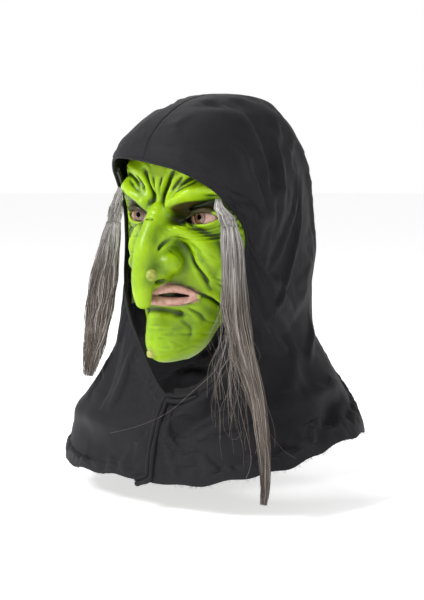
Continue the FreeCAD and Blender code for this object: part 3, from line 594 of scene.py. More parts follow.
for s in (1, -1):
    c = (s * EX, EY, EZ)
    # eyeball form under the lids
    ball(c, ER + 2.4, 3.0)
    q_ = 1.0 if s > 0 else 0.70
    up = [(s * EX + s * p[0], EY + p[1], EZ + p[2]) for p in (on_ball(u * (q_ if u > 0 else 1), v + 1.9, ER + 2.1) for u, v in lid_up)]
    lo_ = [(s * EX + s * p[0], EY + p[1], EZ + p[2]) for p in (on_ball(u * (q_ if u > 0 else 1), v - 1.4, ER + 1.7) for u, v in lid_lo)]
    chain(up, [1.4, 2.4, 2.9, 2.9, 2.5, 1.5], 1.6, n=6)
    chain(lo_, [1.3, 1.9, 2.1, 2.1, 1.8, 1.3], 1.6, n=6)
    crease = [(s * EX + s * p[0], EY + p[1], EZ + p[2]) for p in (on_ball(u, v + 6.2, ER + 3.6) for u, v in lid_up)]
    chain(crease, [0.9, 1.3, 1.5, 1.5, 1.3, 0.9], 1.8, n=6, sign=-1)
    # tear corner
    ball((s * (EX - 17.5), -70.5, -3.0), (3.2, 4, 2.6), 2.0)

# lips
chain([(-36, -77, -71.5), (-28, -84.5, -67.0), (-18, -92.0, -64.4), (-7, -97, -66.0), (0, -97, -67.3), (7, -97, -66.0), (18, -92.0, -64.4), (28, -84.5, -67.0), (36, -77, -71.5)],
      [1.5, 2.9, 3.7, 3.6, 3.3, 3.6, 3.7, 2.9, 1.5], 2.2, n=5)
chain([(-35, -78, -72.5), (-26, -86.5, -75.0), (-13, -94.5, -75.9), (0, -97.5, -75.4), (13, -94.5, -75.9), (26, -86.5, -75.0), (35, -78, -72.5)],
      [1.5, 3.1, 4.0, 4.3, 4.0, 3.1, 1.5], 2.2, n=5)
WART_N, WART_C = (10.4, -114.2, -51.0), (-3.0, -98.5, -124.0)
ball(WART_N, 4.6, 1.2)
ball(WART_C, 4.3, 1.2)

# fine relief laid over the finished volumes: arcs under the eyes, feathered lines on brow, cheek, nose and chin
HX3 = np.zeros((len(XS), len(ZS)), np.float32)
for k, (rad, hgt) in enumerate([(13.6, -1.0), (16.6, -1.5), (19.8, -1.3), (23.2, -1.0), (27.0, -0.7)]):
    arc = [(37.5 + rad * 1.25 * math.cos(a), 1.5 + rad * 0.80 * math.sin(a)) for a in np.radians(np.linspace(212 + 3 * k, 346 - 4 * k, 7))]
    stroke(arc, 1.0, hgt, field=HX3)
for _ in range(70):
    t_ = rng.uniform(0, 1)
    cx_ = 16 + 42 * t_
    cz_ = np.interp(cx_, [14, 24, 38, 50, 60], [10, 16, 24, 26, 20]) + rng.uniform(-6, 9)
    ln = rng.uniform(4, 9)
    an = math.radians(rng.normal(38 - 30 * t_, 8))
    sx = 1 if rng.random() < 0.5 else -1
    stroke([(sx * (cx_ - ln / 2 * math.cos(an)), cz_ - ln / 2 * math.sin(an)), (sx * cx_, cz_ + 0.4), (sx * (cx_ + ln / 2 * math.cos(an)), cz_ + ln / 2 * math.sin(an))], 0.8, -rng.uniform(0.22, 0.5), both=False, field=HX3)
for _ in range(80):
    x0, z0 = rng.uniform(14, 62), rng.uniform(-120, -16)
    ln = rng.uniform(4, 11)
    an = math.radians(rng.normal(-44, 16))
    sx = 1 if rng.random() < 0.5 else -1
    stroke([(sx * x0, z0), (sx * (x0 + ln / 2 * math.cos(an)), z0 + ln / 2 * math.sin(an) + 0.6), (sx * (x0 + ln * math.cos(an)), z0 + ln * math.sin(an))], 0.8, -rng.uniform(0.2, 0.5), both=False, field=HX3)
for _ in range(26):
    x0, z0 = rng.uniform(-26, 26), rng.uniform(-126, -96)
    ln = rng.uniform(4, 10)
    stroke([(x0 - ln / 2, z0 + rng.normal(0, 1)), (x0, z0 - 0.5), (x0 + ln / 2, z0 + rng.normal(0, 1))], 0.8, -rng.uniform(0.2, 0.4), both=False, field=HX3)
D -= HX3[:, None, :] * smooth(-58, -68, Y)
OUTER = D.copy()

# ---- a true thin wall, open at the back, with the eye openings and the mouth cut through


def box_blur(a, n):
    for ax in range(3):
        c = np.cumsum(np.pad(a, [(n + 1, n) if k == ax else (0, 0) for k in range(3)], mode='edge'), axis=ax, dtype=np.float64)
        hi_ = [slice(None)] * 3
        lo2 = [slice(None)] * 3
        hi_[ax] = slice(2 * n + 1, None)
        lo2[ax] = slice(0, -(2 * n + 1))
        a = ((c[tuple(hi_)] - c[tuple(lo2)]) / (2 * n + 1)).astype(np.float32)
    return a


b1 = box_blur(box_blur(OUTER, max(1, int(round(1.6 / H)))), max(1, int(round(1.6 / H))))
b2_ = box_blur(box_blur(OUTER, max(2, int(round(4.5 / H)))), max(2, int(round(4.5 / H))))
CAV1, CAV2 = -(b1 - OUTER), -(b2_ - OUTER)
D = np.maximum(D, -(np.maximum(b1, OUTER) + 2.3))
D = np.maximum(D, Y - np.interp(ZS, [-142, -134, -128, -116, -101, -86, -72, -58], [-70, -64, -58, -52, -46, -40, -36, -34])[None, None, :])
for s in (1, -1):
    def open_eye(dv, x, y, z, s=s):
        # almond prism, pointed at both corners
        u = s * x - EX
        if s < 0:
            u = np.where(u > 0, u / 0.70, u)
        t = np.clip((u + 17.5) / 35.3, 0, 1)
        top = np.interp(u, [p[0] for p in lid_up], [p[1] for p in lid_up])
        bot = np.interp(u, [p[0] for p in lid_lo], [p[1] for p in lid_lo])
        inside = np.maximum(np.maximum(z - EZ - top, bot - (z - EZ)), np.abs(u - 0.3) - 17.3)
        dome = np.sqrt((x - s * EX) ** 2 + (y - EY) ** 2 + (z - EZ) ** 2) - (ER + 0.35)
        cut = smin(np.maximum(inside, y + 52), np.maximum(dome, 0 * dome - 50), 0.5)
        return smax(dv, -cut, 0.7)
    apply((s * EX - 24, -100, -24), (s * EX + 24, -31, 24), open_eye)


def open_mouth(dv, x, y, z):
    ax = np.abs(x)
    half = 2.3 * np.exp(-((ax - 20.0) / 5.4) ** 2) - 0.5
    mid = -70.3 - 0.0012 * ax ** 2 + 0.5 * np.exp(-((ax - 20) / 7) ** 2)
    cut = np.maximum(np.abs(z - mid) - half, np.abs(y + 85) - 22)
    return smax(dv, -cut, 0.7)


apply((-36, -106, -84), (36, -50, -60), open_mouth)

g = vdb.FloatGrid(3.0)
g.copyFromArray(np.ascontiguousarray(np.clip(D, -3, 3)), tolerance=0.0)
pts, quads = g.convertToQuads(isovalue=0.0)
pts = np.array(pts, float)
quads = np.array(quads, np.int64)
verts = pts * H + np.array([XS[0], YS[0], ZS[0]])
print("face mesh", len(verts), len(quads))


def sample(arr, v):
    q = (v - np.array([XS[0], YS[0], ZS[0]])) / H
    i = np.clip(np.floor(q).astype(int), 0, np.array(arr.shape) - 2)
    f = q - i
    out = 0
    for dx in (0, 1):
        for dy in (0, 1):
            for dz in (0, 1):
                wgt = (f[:, 0] if dx else 1 - f[:, 0]) * (f[:, 1] if dy else 1 - f[:, 1]) * (f[:, 2] if dz else 1 - f[:, 2])
                out = out + wgt * arr[i[:, 0] + dx, i[:, 1] + dy, i[:, 2] + dz]
    return out


def latex_material():
    n = Nodes("latex_green")
    cav, cavw, lip, wart, maw, inner, sock, olive_painted_shade = [n.attr(k) for k in ("cav", "cavw", "lip", "wart", "maw", "inner", "sock", "olive_painted_shade")]
    base = n.ramp(n.noise(26.0, 4.0, 0.55), [(0.30, srgb(104, 140, 0)), (0.50, srgb(132, 170, 0)), (0.72, srgb(158, 192, 4))])
    mott = n.ramp(n.noise(120.0, 3.0, 0.6), [(0.35, (0.78, 0.84, 0.6)), (0.65, (1.06, 1.05, 1.02))])
    base = n.mix(0.55, base, mott, 'MULTIPLY')
    # raised skin is paler, hollows are greener and darker
    hi = n.ramp(cav, [(0.0, 1.0), (0.36, 0.55), (0.5, 0.0)])
    base = n.mix(n.math('MULTIPLY', hi, 0.62), base, srgb(176, 216, 20))
    lo = n.ramp(cavw, [(0.50, 0.0), (0.85, 1.0)])
    base = n.mix(n.math('MULTIPLY', lo, 0.55), base, srgb(44, 92, 0))
    # painted shade: darker olive patches round the nose wings and sides, under the nose, under the brow and lip and at
    # the mouth corners
    base = n.mix(n.math('MULTIPLY', olive_painted_shade, n.ramp(n.noise(70.0, 4.0, 0.65), [(0.3, 0.45), (0.65, 0.9)])), base, srgb(52, 78, 0))
    crease = n.ramp(n.math('ADD', cav, n.math('MULTIPLY', n.math('SUBTRACT', n.noise(150.0, 4.0, 0.7), 0.5), 0.16)), [(0.545, 0.0), (0.68, 0.42), (0.92, 0.96)])
    # painted shade: a dark maroon band under the brow over each upper lid and at the inner eye corner, where the brow's
    # shadow falls
    base = n.mix(n.math('MULTIPLY', sock, 0.96), base, n.mix(n.ramp(n.noise(90.0, 3.0, 0.6), [(0.35, 0.0), (0.65, 1.0)]), srgb(24, 9, 6), srgb(52, 20, 12)))
    wash = n.math('MULTIPLY', crease, 0.93)
    col = n.mix(wash, base, srgb(20, 34, 2))
    lipcol = n.ramp(n.noise(180.0, 4.0, 0.6), [(0.3, srgb(158, 108, 96)), (0.6, srgb(204, 160, 144)), (0.8, srgb(226, 192, 178))])
    lipcol = n.mix(n.math('MULTIPLY', crease, 0.85), lipcol, srgb(40, 14, 12))
    col = n.mix(lip, col, lipcol)
    wc = n.ramp(n.noise(210.0, 3.0, 0.6), [(0.3, srgb(126, 138, 46)), (0.7, srgb(186, 190, 98))])
    col = n.mix(wart, col, wc)
    col = n.mix(maw, col, srgb(46, 6, 8))
    col = n.mix(inner, col, srgb(150, 176, 70))
    pores = n.noise(900.0, 2.0, 0.5)
    fine = n.noise(320.0, 4.0, 0.65)
    nb = n.bump(pores, 0.12, 0.0004)
    nb = n.bump(fine, 0.22, 0.0008, nb)
    rough = n.math('ADD', 0.30, n.math('MULTIPLY', n.noise(60.0, 3.0, 0.5), 0.22))
    n.set(color=col, rough=rough, normal=nb, spec=0.30, coat=0.14, coat_rough=0.20)
    return n.mat


face = mesh_object("latex_face", verts, quads[:, ::-1], latex_material())
cv1, cv2, od = sample(CAV1, verts), sample(CAV2, verts), sample(OUTER, verts)
inner = smooth(-0.9, -1.6, od)
set_attr(face, "cav", np.clip(0.5 + cv1 * 0.55, 0, 1) * (1 - inner) + 0.5 * inner)
set_attr(face, "cavw", np.clip(0.5 + cv2 * 0.16, 0, 1) * (1 - inner) + 0.5 * inner)
set_attr(face, "inner", inner)
vx, vy, vz = verts.T
ax = np.abs(vx)


def path_dist(v, pts3):
    best = np.full(len(v), 1e9)
    for a, b in zip(pts3[:-1], pts3[1:]):
        a, b = np.array(a, float), np.array(b, float)
        ab = b - a
        t = np.clip(((v - a) @ ab) / (ab @ ab), 0, 1)
        best = np.minimum(best, np.linalg.norm(v - a - t[:, None] * ab, axis=1))
    return best


mv = np.column_stack([ax, vy, vz])
up = path_dist(mv, [(0, -97, -66.5), (7, -97, -65.2), (18, -92.0, -64.0), (28, -84.5, -67.4), (35, -78, -71.2)])
lw = path_dist(mv, [(0, -97.5, -76.3), (13, -94.5, -76.7), (26, -86.5, -75.5), (34, -79, -72.8)])
edge_noise = 0.35 * np.sin(vx * 1.7 + 2 * np.sin(vz)) + 0.25 * np.sin(vx * 3.9 + vz * 2.1)
lipm = np.maximum(smooth(5.5, 4.7, up + edge_noise), smooth(6.1, 5.1, lw + edge_noise)) * (vy < -70) * smooth(37.0, 35.0, ax)
set_attr(face, "lip", lipm * (1 - inner))
wd = np.minimum(np.linalg.norm(verts - np.array(WART_N), axis=1) / 4.6, np.linalg.norm(verts - np.array(WART_C), axis=1) / 4.3)
set_attr(face, "wart", smooth(1.22, 1.08, wd))
mid = -70.3 - 0.0012 * ax ** 2
maw = smooth(3.4, 2.2, np.abs(vz - mid)) * smooth(0.2, -1.2, od) * (ax < 30) * (vy > -98)
set_attr(face, "maw", np.clip(maw, 0, 1))
ue, we = ax - EX, vz - EZ
# the 'sock' mask: where the brow's shadow is painted over each upper lid and into the inner corner of the eye
sock = np.maximum(smooth(1.0, 0.78, np.hypot((ue + 1.0) / 21.5, (we - 7.4 - 0.12 * ue) / 8.4)), smooth(1.0, 0.45, np.hypot((ue + 16.5) / 8.5, (we + 2.0) / 7.0)))
# patches of painted shade: nose wings and sides, under the nose, under the brows, between the brows, under the eyes,
# below the lip and at the mouth corners
olive_painted_shade = np.zeros(len(verts))
for ox, oz, sx_, sz_, k_ in ((17, -42, 9, 9, 0.75), (13, -13, 7, 11, 0.5), (15, -57, 12, 6, 0.6), (25, 9, 17, 5, 0.5), (12, -85, 13, 4, 0.5), (4, 26, 5, 14, 0.35), (44, -10, 16, 6, 0.35), (40, -84, 8, 10, 0.35)):
    olive_painted_shade = np.maximum(olive_painted_shade, k_ * np.exp(-((ax - ox) / sx_) ** 2 - ((vz - oz) / sz_) ** 2))
set_attr(face, "olive_painted_shade", olive_painted_shade)
set_attr(face, "sock", np.clip(sock, 0, 1) * (vy < -58) * (1 - inner))
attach(face, "mask")
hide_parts("face_shell")

# ------------------------------------------------------------------ the cloth hood: two panels, folded and settled
# Points on the outer surface in millimetres: rows run from the face opening to the hem, from the crown seam to the front line.
# The second panel is listed as its mirror image.
PANEL_L = np.array([
    [[0, -112.4, 51.5], [0, -99.5, 75.1], [0, -78, 92], [0, -52.8, 104.1], [0, -23.8, 111.3], [0, 7, 113.5], [0, 40.7, 109.6], [0, 70.2, 95.2], [0, 89.7, 70.5], [0, 99.9, 42.3], [0, 104.5, 13.8], [0, 106, -14.2], [0, 104.3, -42], [0, 101.4, -69.4], [0, 98.4, -96.6], [0, 97, -124], [0, 97.3, -151.5], [0, 100.4, -178.8], [0, 104.8, -206]],
    [[11.7, -112.5, 49.2], [19.4, -100.8, 71.8], [25.2, -79.2, 87.2], [30.3, -54.2, 98], [35.1, -26.8, 104.1], [39.6, 3.1, 105.3], [43.3, 33.5, 99.4], [43, 61, 83.9], [39.8, 80.7, 61.3], [35.1, 92.4, 35.3], [30.5, 98.4, 8.6], [26.8, 101.2, -18.4], [23.5, 100.5, -45.3], [21, 98.4, -72], [19.4, 96.2, -98.6], [18.8, 95.6, -125.4], [18.9, 96.5, -152.2], [19.6, 99.7, -179], [20.9, 103.9, -205.8]],
    [[23.3, -111.2, 46.8], [37.3, -99.5, 63.7], [46.6, -78.3, 75.2], [53.7, -54.2, 81.5], [59.6, -28.8, 83.3], [63.9, -3.1, 80.3], [66.7, 22.4, 72.2], [66.2, 45.3, 58.1], [62.6, 63.4, 39], [57.3, 76, 17.1], [52, 84.2, -6.3], [46.9, 88.8, -30.7], [42.4, 90.5, -55.4], [38.8, 90.4, -80.2], [36.7, 90.1, -105.1], [36.5, 91.6, -130.1], [37, 93.9, -155.2], [38.3, 97.4, -180.2], [40.2, 101.4, -205.4]],
    [[34.6, -107.6, 43.4], [50.8, -94.5, 52.4], [61.1, -74.4, 58.4], [67.6, -52.1, 60.4], [71.6, -29.4, 58.6], [74.3, -7.3, 53.1], [76.1, 13.6, 43.8], [75.4, 32.5, 30.7], [72.5, 48.2, 14.2], [68.7, 60.5, -4.7], [64.3, 69.3, -25.3], [59.6, 75, -47], [55.7, 78.3, -69.1], [52.6, 80.2, -91.6], [51.5, 82.3, -114.1], [52.6, 86.4, -136.5], [54, 90, -159.1], [55.9, 93.7, -181.8], [58.2, 97.3, -204.7]],
    [[45.1, -101.1, 37.9], [59.1, -86.3, 39.6], [68.1, -67.9, 40.6], [73.4, -48.1, 39.3], [76.5, -28.4, 35.3], [78.1, -9.6, 28.2], [79.1, 7.9, 18.4], [78.9, 23.7, 5.7], [77.2, 37.2, -9.4], [74.5, 48.1, -26.4], [71.1, 56.4, -44.7], [67.9, 62.5, -64], [65, 66.7, -83.7], [63.7, 70.2, -103.7], [64.7, 74.6, -123.6], [67.4, 80.3, -143.1], [69.8, 84.7, -163.1], [72.3, 88.5, -183.3], [75, 91.7, -203.9]],
    [[54.4, -91.2, 30.5], [64, -76.6, 27.5], [70.8, -60.2, 24.7], [75.3, -43.2, 20.6], [78, -26.4, 14.5], [79.7, -10.5, 6.3], [80.5, 4.2, -4], [80.6, 17.4, -16.5], [79.5, 28.8, -30.6], [77.7, 38.2, -46.2], [75.7, 45.7, -62.7], [73.7, 51.6, -79.9], [72.5, 56.4, -97.5], [73.6, 61.3, -115], [77.4, 67.5, -131.8], [81.1, 73.3, -148.9], [84.4, 78, -166.6], [87.4, 81.9, -184.6], [90.4, 84.6, -203]],
    [[61.3, -80.1, 20.9], [67.8, -67.2, 15.3], [72.9, -53.1, 9.8], [76.6, -38.6, 3.5], [79, -24.4, -4.1], [80.5, -11, -13.2], [81.2, 1.2, -23.9], [81.4, 12.2, -36], [80.9, 21.7, -49.4], [80.1, 29.8, -63.7], [79.1, 36.5, -78.8], [78.6, 42.1, -94.2], [80, 47.5, -109.7], [83.6, 53.1, -124.8], [89.3, 59.8, -138.8], [93.7, 65.4, -153.8], [97.6, 70.1, -169.5], [101.1, 73.8, -185.5], [104.1, 76.3, -202.1]],
    [[65.8, -70.8, 9.9], [70.6, -59.3, 2.7], [74.5, -47.3, -4.6], [77.4, -35.1, -12.3], [79.5, -23.2, -21], [80.8, -12.1, -30.6], [81.5, -1.9, -41.4], [81.9, 7.2, -53.2], [82.1, 15.2, -65.8], [82, 22.1, -79.1], [82.2, 28.1, -92.8], [84.1, 33.5, -106.6], [87.4, 38.9, -120.1], [93.8, 45, -132.2], [99.8, 51, -144.7], [105, 56.3, -157.9], [109.2, 60.8, -171.9], [113, 64.4, -186.3], [116, 66.7, -201.3]],
    [[69.8, -60.9, -1.3], [72.6, -52.6, -9.8], [75.5, -43.1, -18.3], [77.8, -33.1, -27.1], [79.6, -23.3, -36.3], [80.9, -14.1, -46.3], [81.8, -5.7, -56.9], [82.5, 1.9, -68.3], [83.2, 8.7, -80.2], [84, 14.6, -92.5], [86.2, 19.9, -104.8], [89.8, 25, -116.9], [95.8, 30.2, -128.1], [102.9, 35.8, -138.4], [109.1, 41.1, -149.7], [114.7, 46, -161.5], [119.2, 50.1, -174], [123.2, 53.7, -186.9], [126, 56.1, -200.6]],
    [[71.8, -54.5, -12.9], [73.6, -48.7, -22.1], [75.7, -41.2, -31.3], [77.7, -33.1, -40.5], [79.4, -25.1, -50], [80.8, -17.4, -60], [82, -10.4, -70.4], [83.1, -4.1, -81.3], [84.3, 1.6, -92.5], [86.8, 6.7, -103.7], [90.5, 11.4, -114.8], [96, 15.9, -125.2], [103.4, 20.6, -134.3], [110.4, 25.3, -143.9], [116.8, 29.9, -154], [122.5, 34.3, -164.6], [127.2, 38.3, -175.9], [131.3, 41.9, -187.7], [133.9, 44.6, -200.2]],
    [[71.8, -53.2, -24.8], [73.3, -48.2, -34], [75.2, -41.9, -43.3], [77.1, -35.2, -52.6], [78.9, -28.4, -62.1], [80.5, -22.1, -71.9], [82, -16.2, -82], [83.5, -10.9, -92.3], [86.2, -6.2, -102.7], [89.9, -1.9, -113], [94.8, 2, -122.9], [102, 5.8, -131.4], [109.3, 9.7, -139.8], [116.1, 13.6, -148.8], [122.5, 17.5, -158], [128.3, 21.4, -167.8], [133.2, 25.2, -178], [137.2, 28.9, -188.7], [139.6, 32.3, -200]],
    [[70.3, -55.2, -36.6], [72, -50.4, -45.5], [74, -44.7, -54.5], [76.1, -38.9, -63.6], [78, -33.2, -72.9], [79.8, -27.8, -82.3], [81.6, -22.9, -92], [84.4, -18.6, -101.7], [88.1, -14.8, -111.3], [92.6, -11.4, -120.7], [99.3, -8.4, -128.9], [106.5, -5.3, -136.7], [113.4, -2.3, -144.9], [119.9, 0.9, -153.3], [126.2, 4.1, -161.9], [131.7, 7.3, -171.1], [136.8, 10.9, -180.4], [140.9, 14.8, -190.2], [143.3, 19.2, -200.5]],
    [[67.4, -59.5, -48.1], [69.9, -54.1, -56.6], [72.3, -48.8, -65.2], [74.5, -43.6, -74], [76.5, -38.6, -82.8], [78.7, -34.1, -91.9], [81.5, -30.2, -101], [85.2, -26.9, -110], [89.5, -24.1, -118.8], [95.6, -21.8, -126.8], [102.7, -19.6, -134.1], [109.7, -17.4, -141.5], [116.1, -15.1, -149.4], [122.4, -12.7, -157.3], [128.3, -10.3, -165.7], [133.5, -7.6, -174.4], [138.3, -4.7, -183.2], [142.2, -0.9, -192.5], [144.8, 5, -202]],
    [[64.4, -63.5, -59.6], [67.4, -58, -67.7], [70, -53, -75.9], [72.4, -48.4, -84.2], [74.7, -44.3, -92.6], [77.7, -40.9, -101.2], [81.3, -38.1, -109.6], [85.5, -35.7, -117.9], [91.2, -34.1, -125.5], [97.9, -32.8, -132.4], [104.8, -31.5, -139.2], [111.2, -30.1, -146.5], [117.5, -28.6, -153.8], [123.5, -27, -161.4], [129, -25.2, -169.4], [134, -23.5, -177.6], [138.5, -21.7, -186.2], [142, -20.2, -195.1], [144.3, -19.9, -204.2]],
    [[62.1, -65.6, -71.2], [65.1, -60.8, -79], [67.7, -56.6, -86.8], [70.3, -53, -94.7], [73.3, -50.1, -102.7], [76.9, -47.9, -110.6], [80.9, -46.1, -118.4], [86.3, -45.2, -125.6], [92.7, -44.8, -132], [99.1, -44.4, -138.4], [105.3, -43.7, -145.1], [111.4, -43, -151.9], [117.4, -42.3, -158.8], [123, -41.4, -166], [128, -40.3, -173.7], [132.8, -39.3, -181.5], [136.9, -38.3, -189.7], [139.9, -37.5, -198.3], [142.1, -37.4, -207.1]],
    [[60.7, -66.2, -83], [63.3, -62.6, -90.5], [65.9, -59.8, -98], [68.9, -57.8, -105.5], [72.2, -56.2, -113], [76.1, -55.2, -120.3], [81.2, -55.1, -126.9], [87, -55.4, -133], [92.9, -55.7, -139], [98.6, -55.8, -145.3], [104.3, -55.8, -151.6], [110, -55.9, -157.9], [115.5, -55.7, -164.5], [120.4, -55.3, -171.5], [125.1, -54.8, -178.7], [129.4, -54.3, -186.2], [133, -53.6, -194], [135.8, -53, -202.2], [137.9, -52.5, -210.5]],
    [[60.7, -65.7, -94.9], [62.6, -64.3, -102], [64.9, -63.4, -109.2], [67.6, -62.8, -116.2], [71.2, -62.9, -123], [75.9, -63.7, -129.2], [80.9, -64.7, -135], [86.1, -65.6, -140.8], [91.1, -66.2, -146.8], [96.3, -66.9, -152.7], [101.6, -67.7, -158.5], [106.6, -68.2, -164.6], [111.3, -68.3, -171], [115.7, -68.4, -177.6], [119.9, -68.3, -184.4], [123.7, -68, -191.5], [126.8, -67.4, -198.9], [129.5, -66.8, -206.4], [131.7, -66.1, -214.2]],
    [[62.2, -65.5, -106.6], [62.7, -66.6, -113.3], [64, -67.6, -119.8], [66.6, -69.1, -126], [70.2, -70.9, -131.8], [74.3, -72.5, -137.5], [78.4, -73.7, -143.3], [82.8, -74.9, -148.9], [87.4, -76.3, -154.4], [92, -77.6, -159.9], [96.5, -78.6, -165.6], [100.7, -79.2, -171.6], [104.8, -79.7, -177.7], [108.7, -80.1, -184], [112.3, -80.2, -190.4], [115.6, -80, -197.1], [118.5, -79.6, -203.9], [121.2, -78.9, -210.8], [123.6, -78.1, -218]],
    [[64.3, -66.7, -118.3], [62.8, -70.6, -123.9], [63.1, -73.8, -129.3], [64.7, -76.4, -134.7], [67.2, -78.5, -140.2], [70.2, -80.2, -145.8], [73.8, -82, -151.2], [77.6, -83.8, -156.4], [81.5, -85.5, -161.7], [85.3, -86.9, -167.2], [88.9, -87.9, -172.8], [92.5, -88.8, -178.5], [96, -89.6, -184.3], [99.3, -90.1, -190.2], [102.4, -90.3, -196.3], [105.3, -90.3, -202.6], [108.1, -90, -208.8], [110.8, -89.5, -215.2], [113.5, -88.6, -221.8]],
    [[64.4, -73.6, -130.2], [61.5, -77.6, -133.8], [60.3, -80.7, -138], [60.5, -83.1, -143], [62, -85.2, -148.2], [64.4, -87.5, -153.3], [67.2, -89.7, -158.3], [70.3, -91.6, -163.4], [73.4, -93.2, -168.7], [76.4, -94.5, -174.1], [79.4, -95.8, -179.4], [82.3, -96.8, -184.9], [85.2, -97.7, -190.5], [88, -98.3, -196.1], [90.6, -98.7, -201.9], [93.2, -98.8, -207.6], [95.9, -98.8, -213.4], [98.6, -98.4, -219.4], [101.5, -97.7, -225.5]],
    [[61.5, -82, -141.6], [57.2, -84.4, -143.3], [54.8, -86.7, -146.3], [54.2, -89, -150.3], [55, -91.5, -154.9], [56.6, -93.8, -159.7], [58.8, -96, -164.7], [61, -97.7, -169.8], [63.4, -99.2, -174.9], [65.7, -100.7, -180.1], [68.1, -102, -185.3], [70.4, -103.2, -190.5], [72.7, -104, -195.9], [74.9, -104.8, -201.3], [77.1, -105.3, -206.7], [79.4, -105.7, -212.1], [81.8, -105.8, -217.6], [84.4, -105.7, -223.1], [87.5, -105.2, -228.9]],
    [[54.8, -89.4, -151.4], [50.2, -90.5, -151.2], [47.4, -92.2, -153], [46.2, -94.2, -156.2], [46.3, -96.5, -160.4], [47.3, -98.7, -165.1], [48.6, -100.5, -170], [50.2, -102.2, -175], [51.9, -103.8, -179.9], [53.6, -105.3, -185], [55.3, -106.7, -190], [57, -107.8, -195.2], [58.6, -108.8, -200.3], [60.4, -109.6, -205.5], [62.1, -110.3, -210.7], [63.9, -110.9, -215.8], [65.9, -111.2, -221], [68.3, -111.3, -226.2], [71.3, -111.1, -231.8]],
    [[45, -95.4, -158.1], [41.1, -95.5, -156.9], [38.3, -96.4, -157.9], [36.8, -98.1, -160.7], [36.5, -100, -164.7], [36.8, -101.9, -169.3], [37.5, -103.7, -174.1], [38.4, -105.5, -179], [39.4, -107.1, -183.9], [40.4, -108.6, -188.8], [41.4, -109.9, -193.8], [42.5, -111, -198.8], [43.5, -112.1, -203.9], [44.7, -113, -208.9], [45.8, -113.8, -214], [47, -114.4, -218.9], [48.5, -114.9, -223.9], [50.2, -115.2, -228.8], [52.9, -115.3, -234]],
    [[33.8, -98.9, -161.8], [30.8, -98.5, -160.3], [28.2, -99.1, -161.1], [26.7, -100.5, -163.8], [26.1, -102.3, -167.8], [25.8, -104, -172.4], [25.8, -105.8, -177.2], [26, -107.6, -182], [26.3, -109.2, -186.9], [26.7, -110.6, -191.9], [27, -111.9, -196.9], [27.4, -113, -201.9], [27.8, -114.1, -206.9], [28.3, -115.1, -211.9], [28.8, -115.9, -216.9], [29.4, -116.5, -221.7], [29.9, -117, -226.3], [30.7, -117.5, -230.8], [31.3, -117.9, -235.5]],
    [[22, -100.4, -163], [20.3, -99.7, -161.2], [17.3, -100.2, -162.1], [16, -101.6, -165.1], [15.6, -103.3, -169.2], [14.8, -105.1, -173.9], [13.9, -106.9, -178.8], [13.3, -108.6, -183.8], [13.2, -110.2, -188.8], [12.9, -111.6, -193.9], [12.4, -112.9, -198.9], [12, -114.1, -204.1], [11.7, -115.1, -209.2], [11.6, -116.1, -214.2], [11.5, -116.8, -219.2], [11.3, -117.4, -223.8], [11.2, -117.9, -228.1], [11.1, -118.3, -232], [0, -118.8, -236]],
])
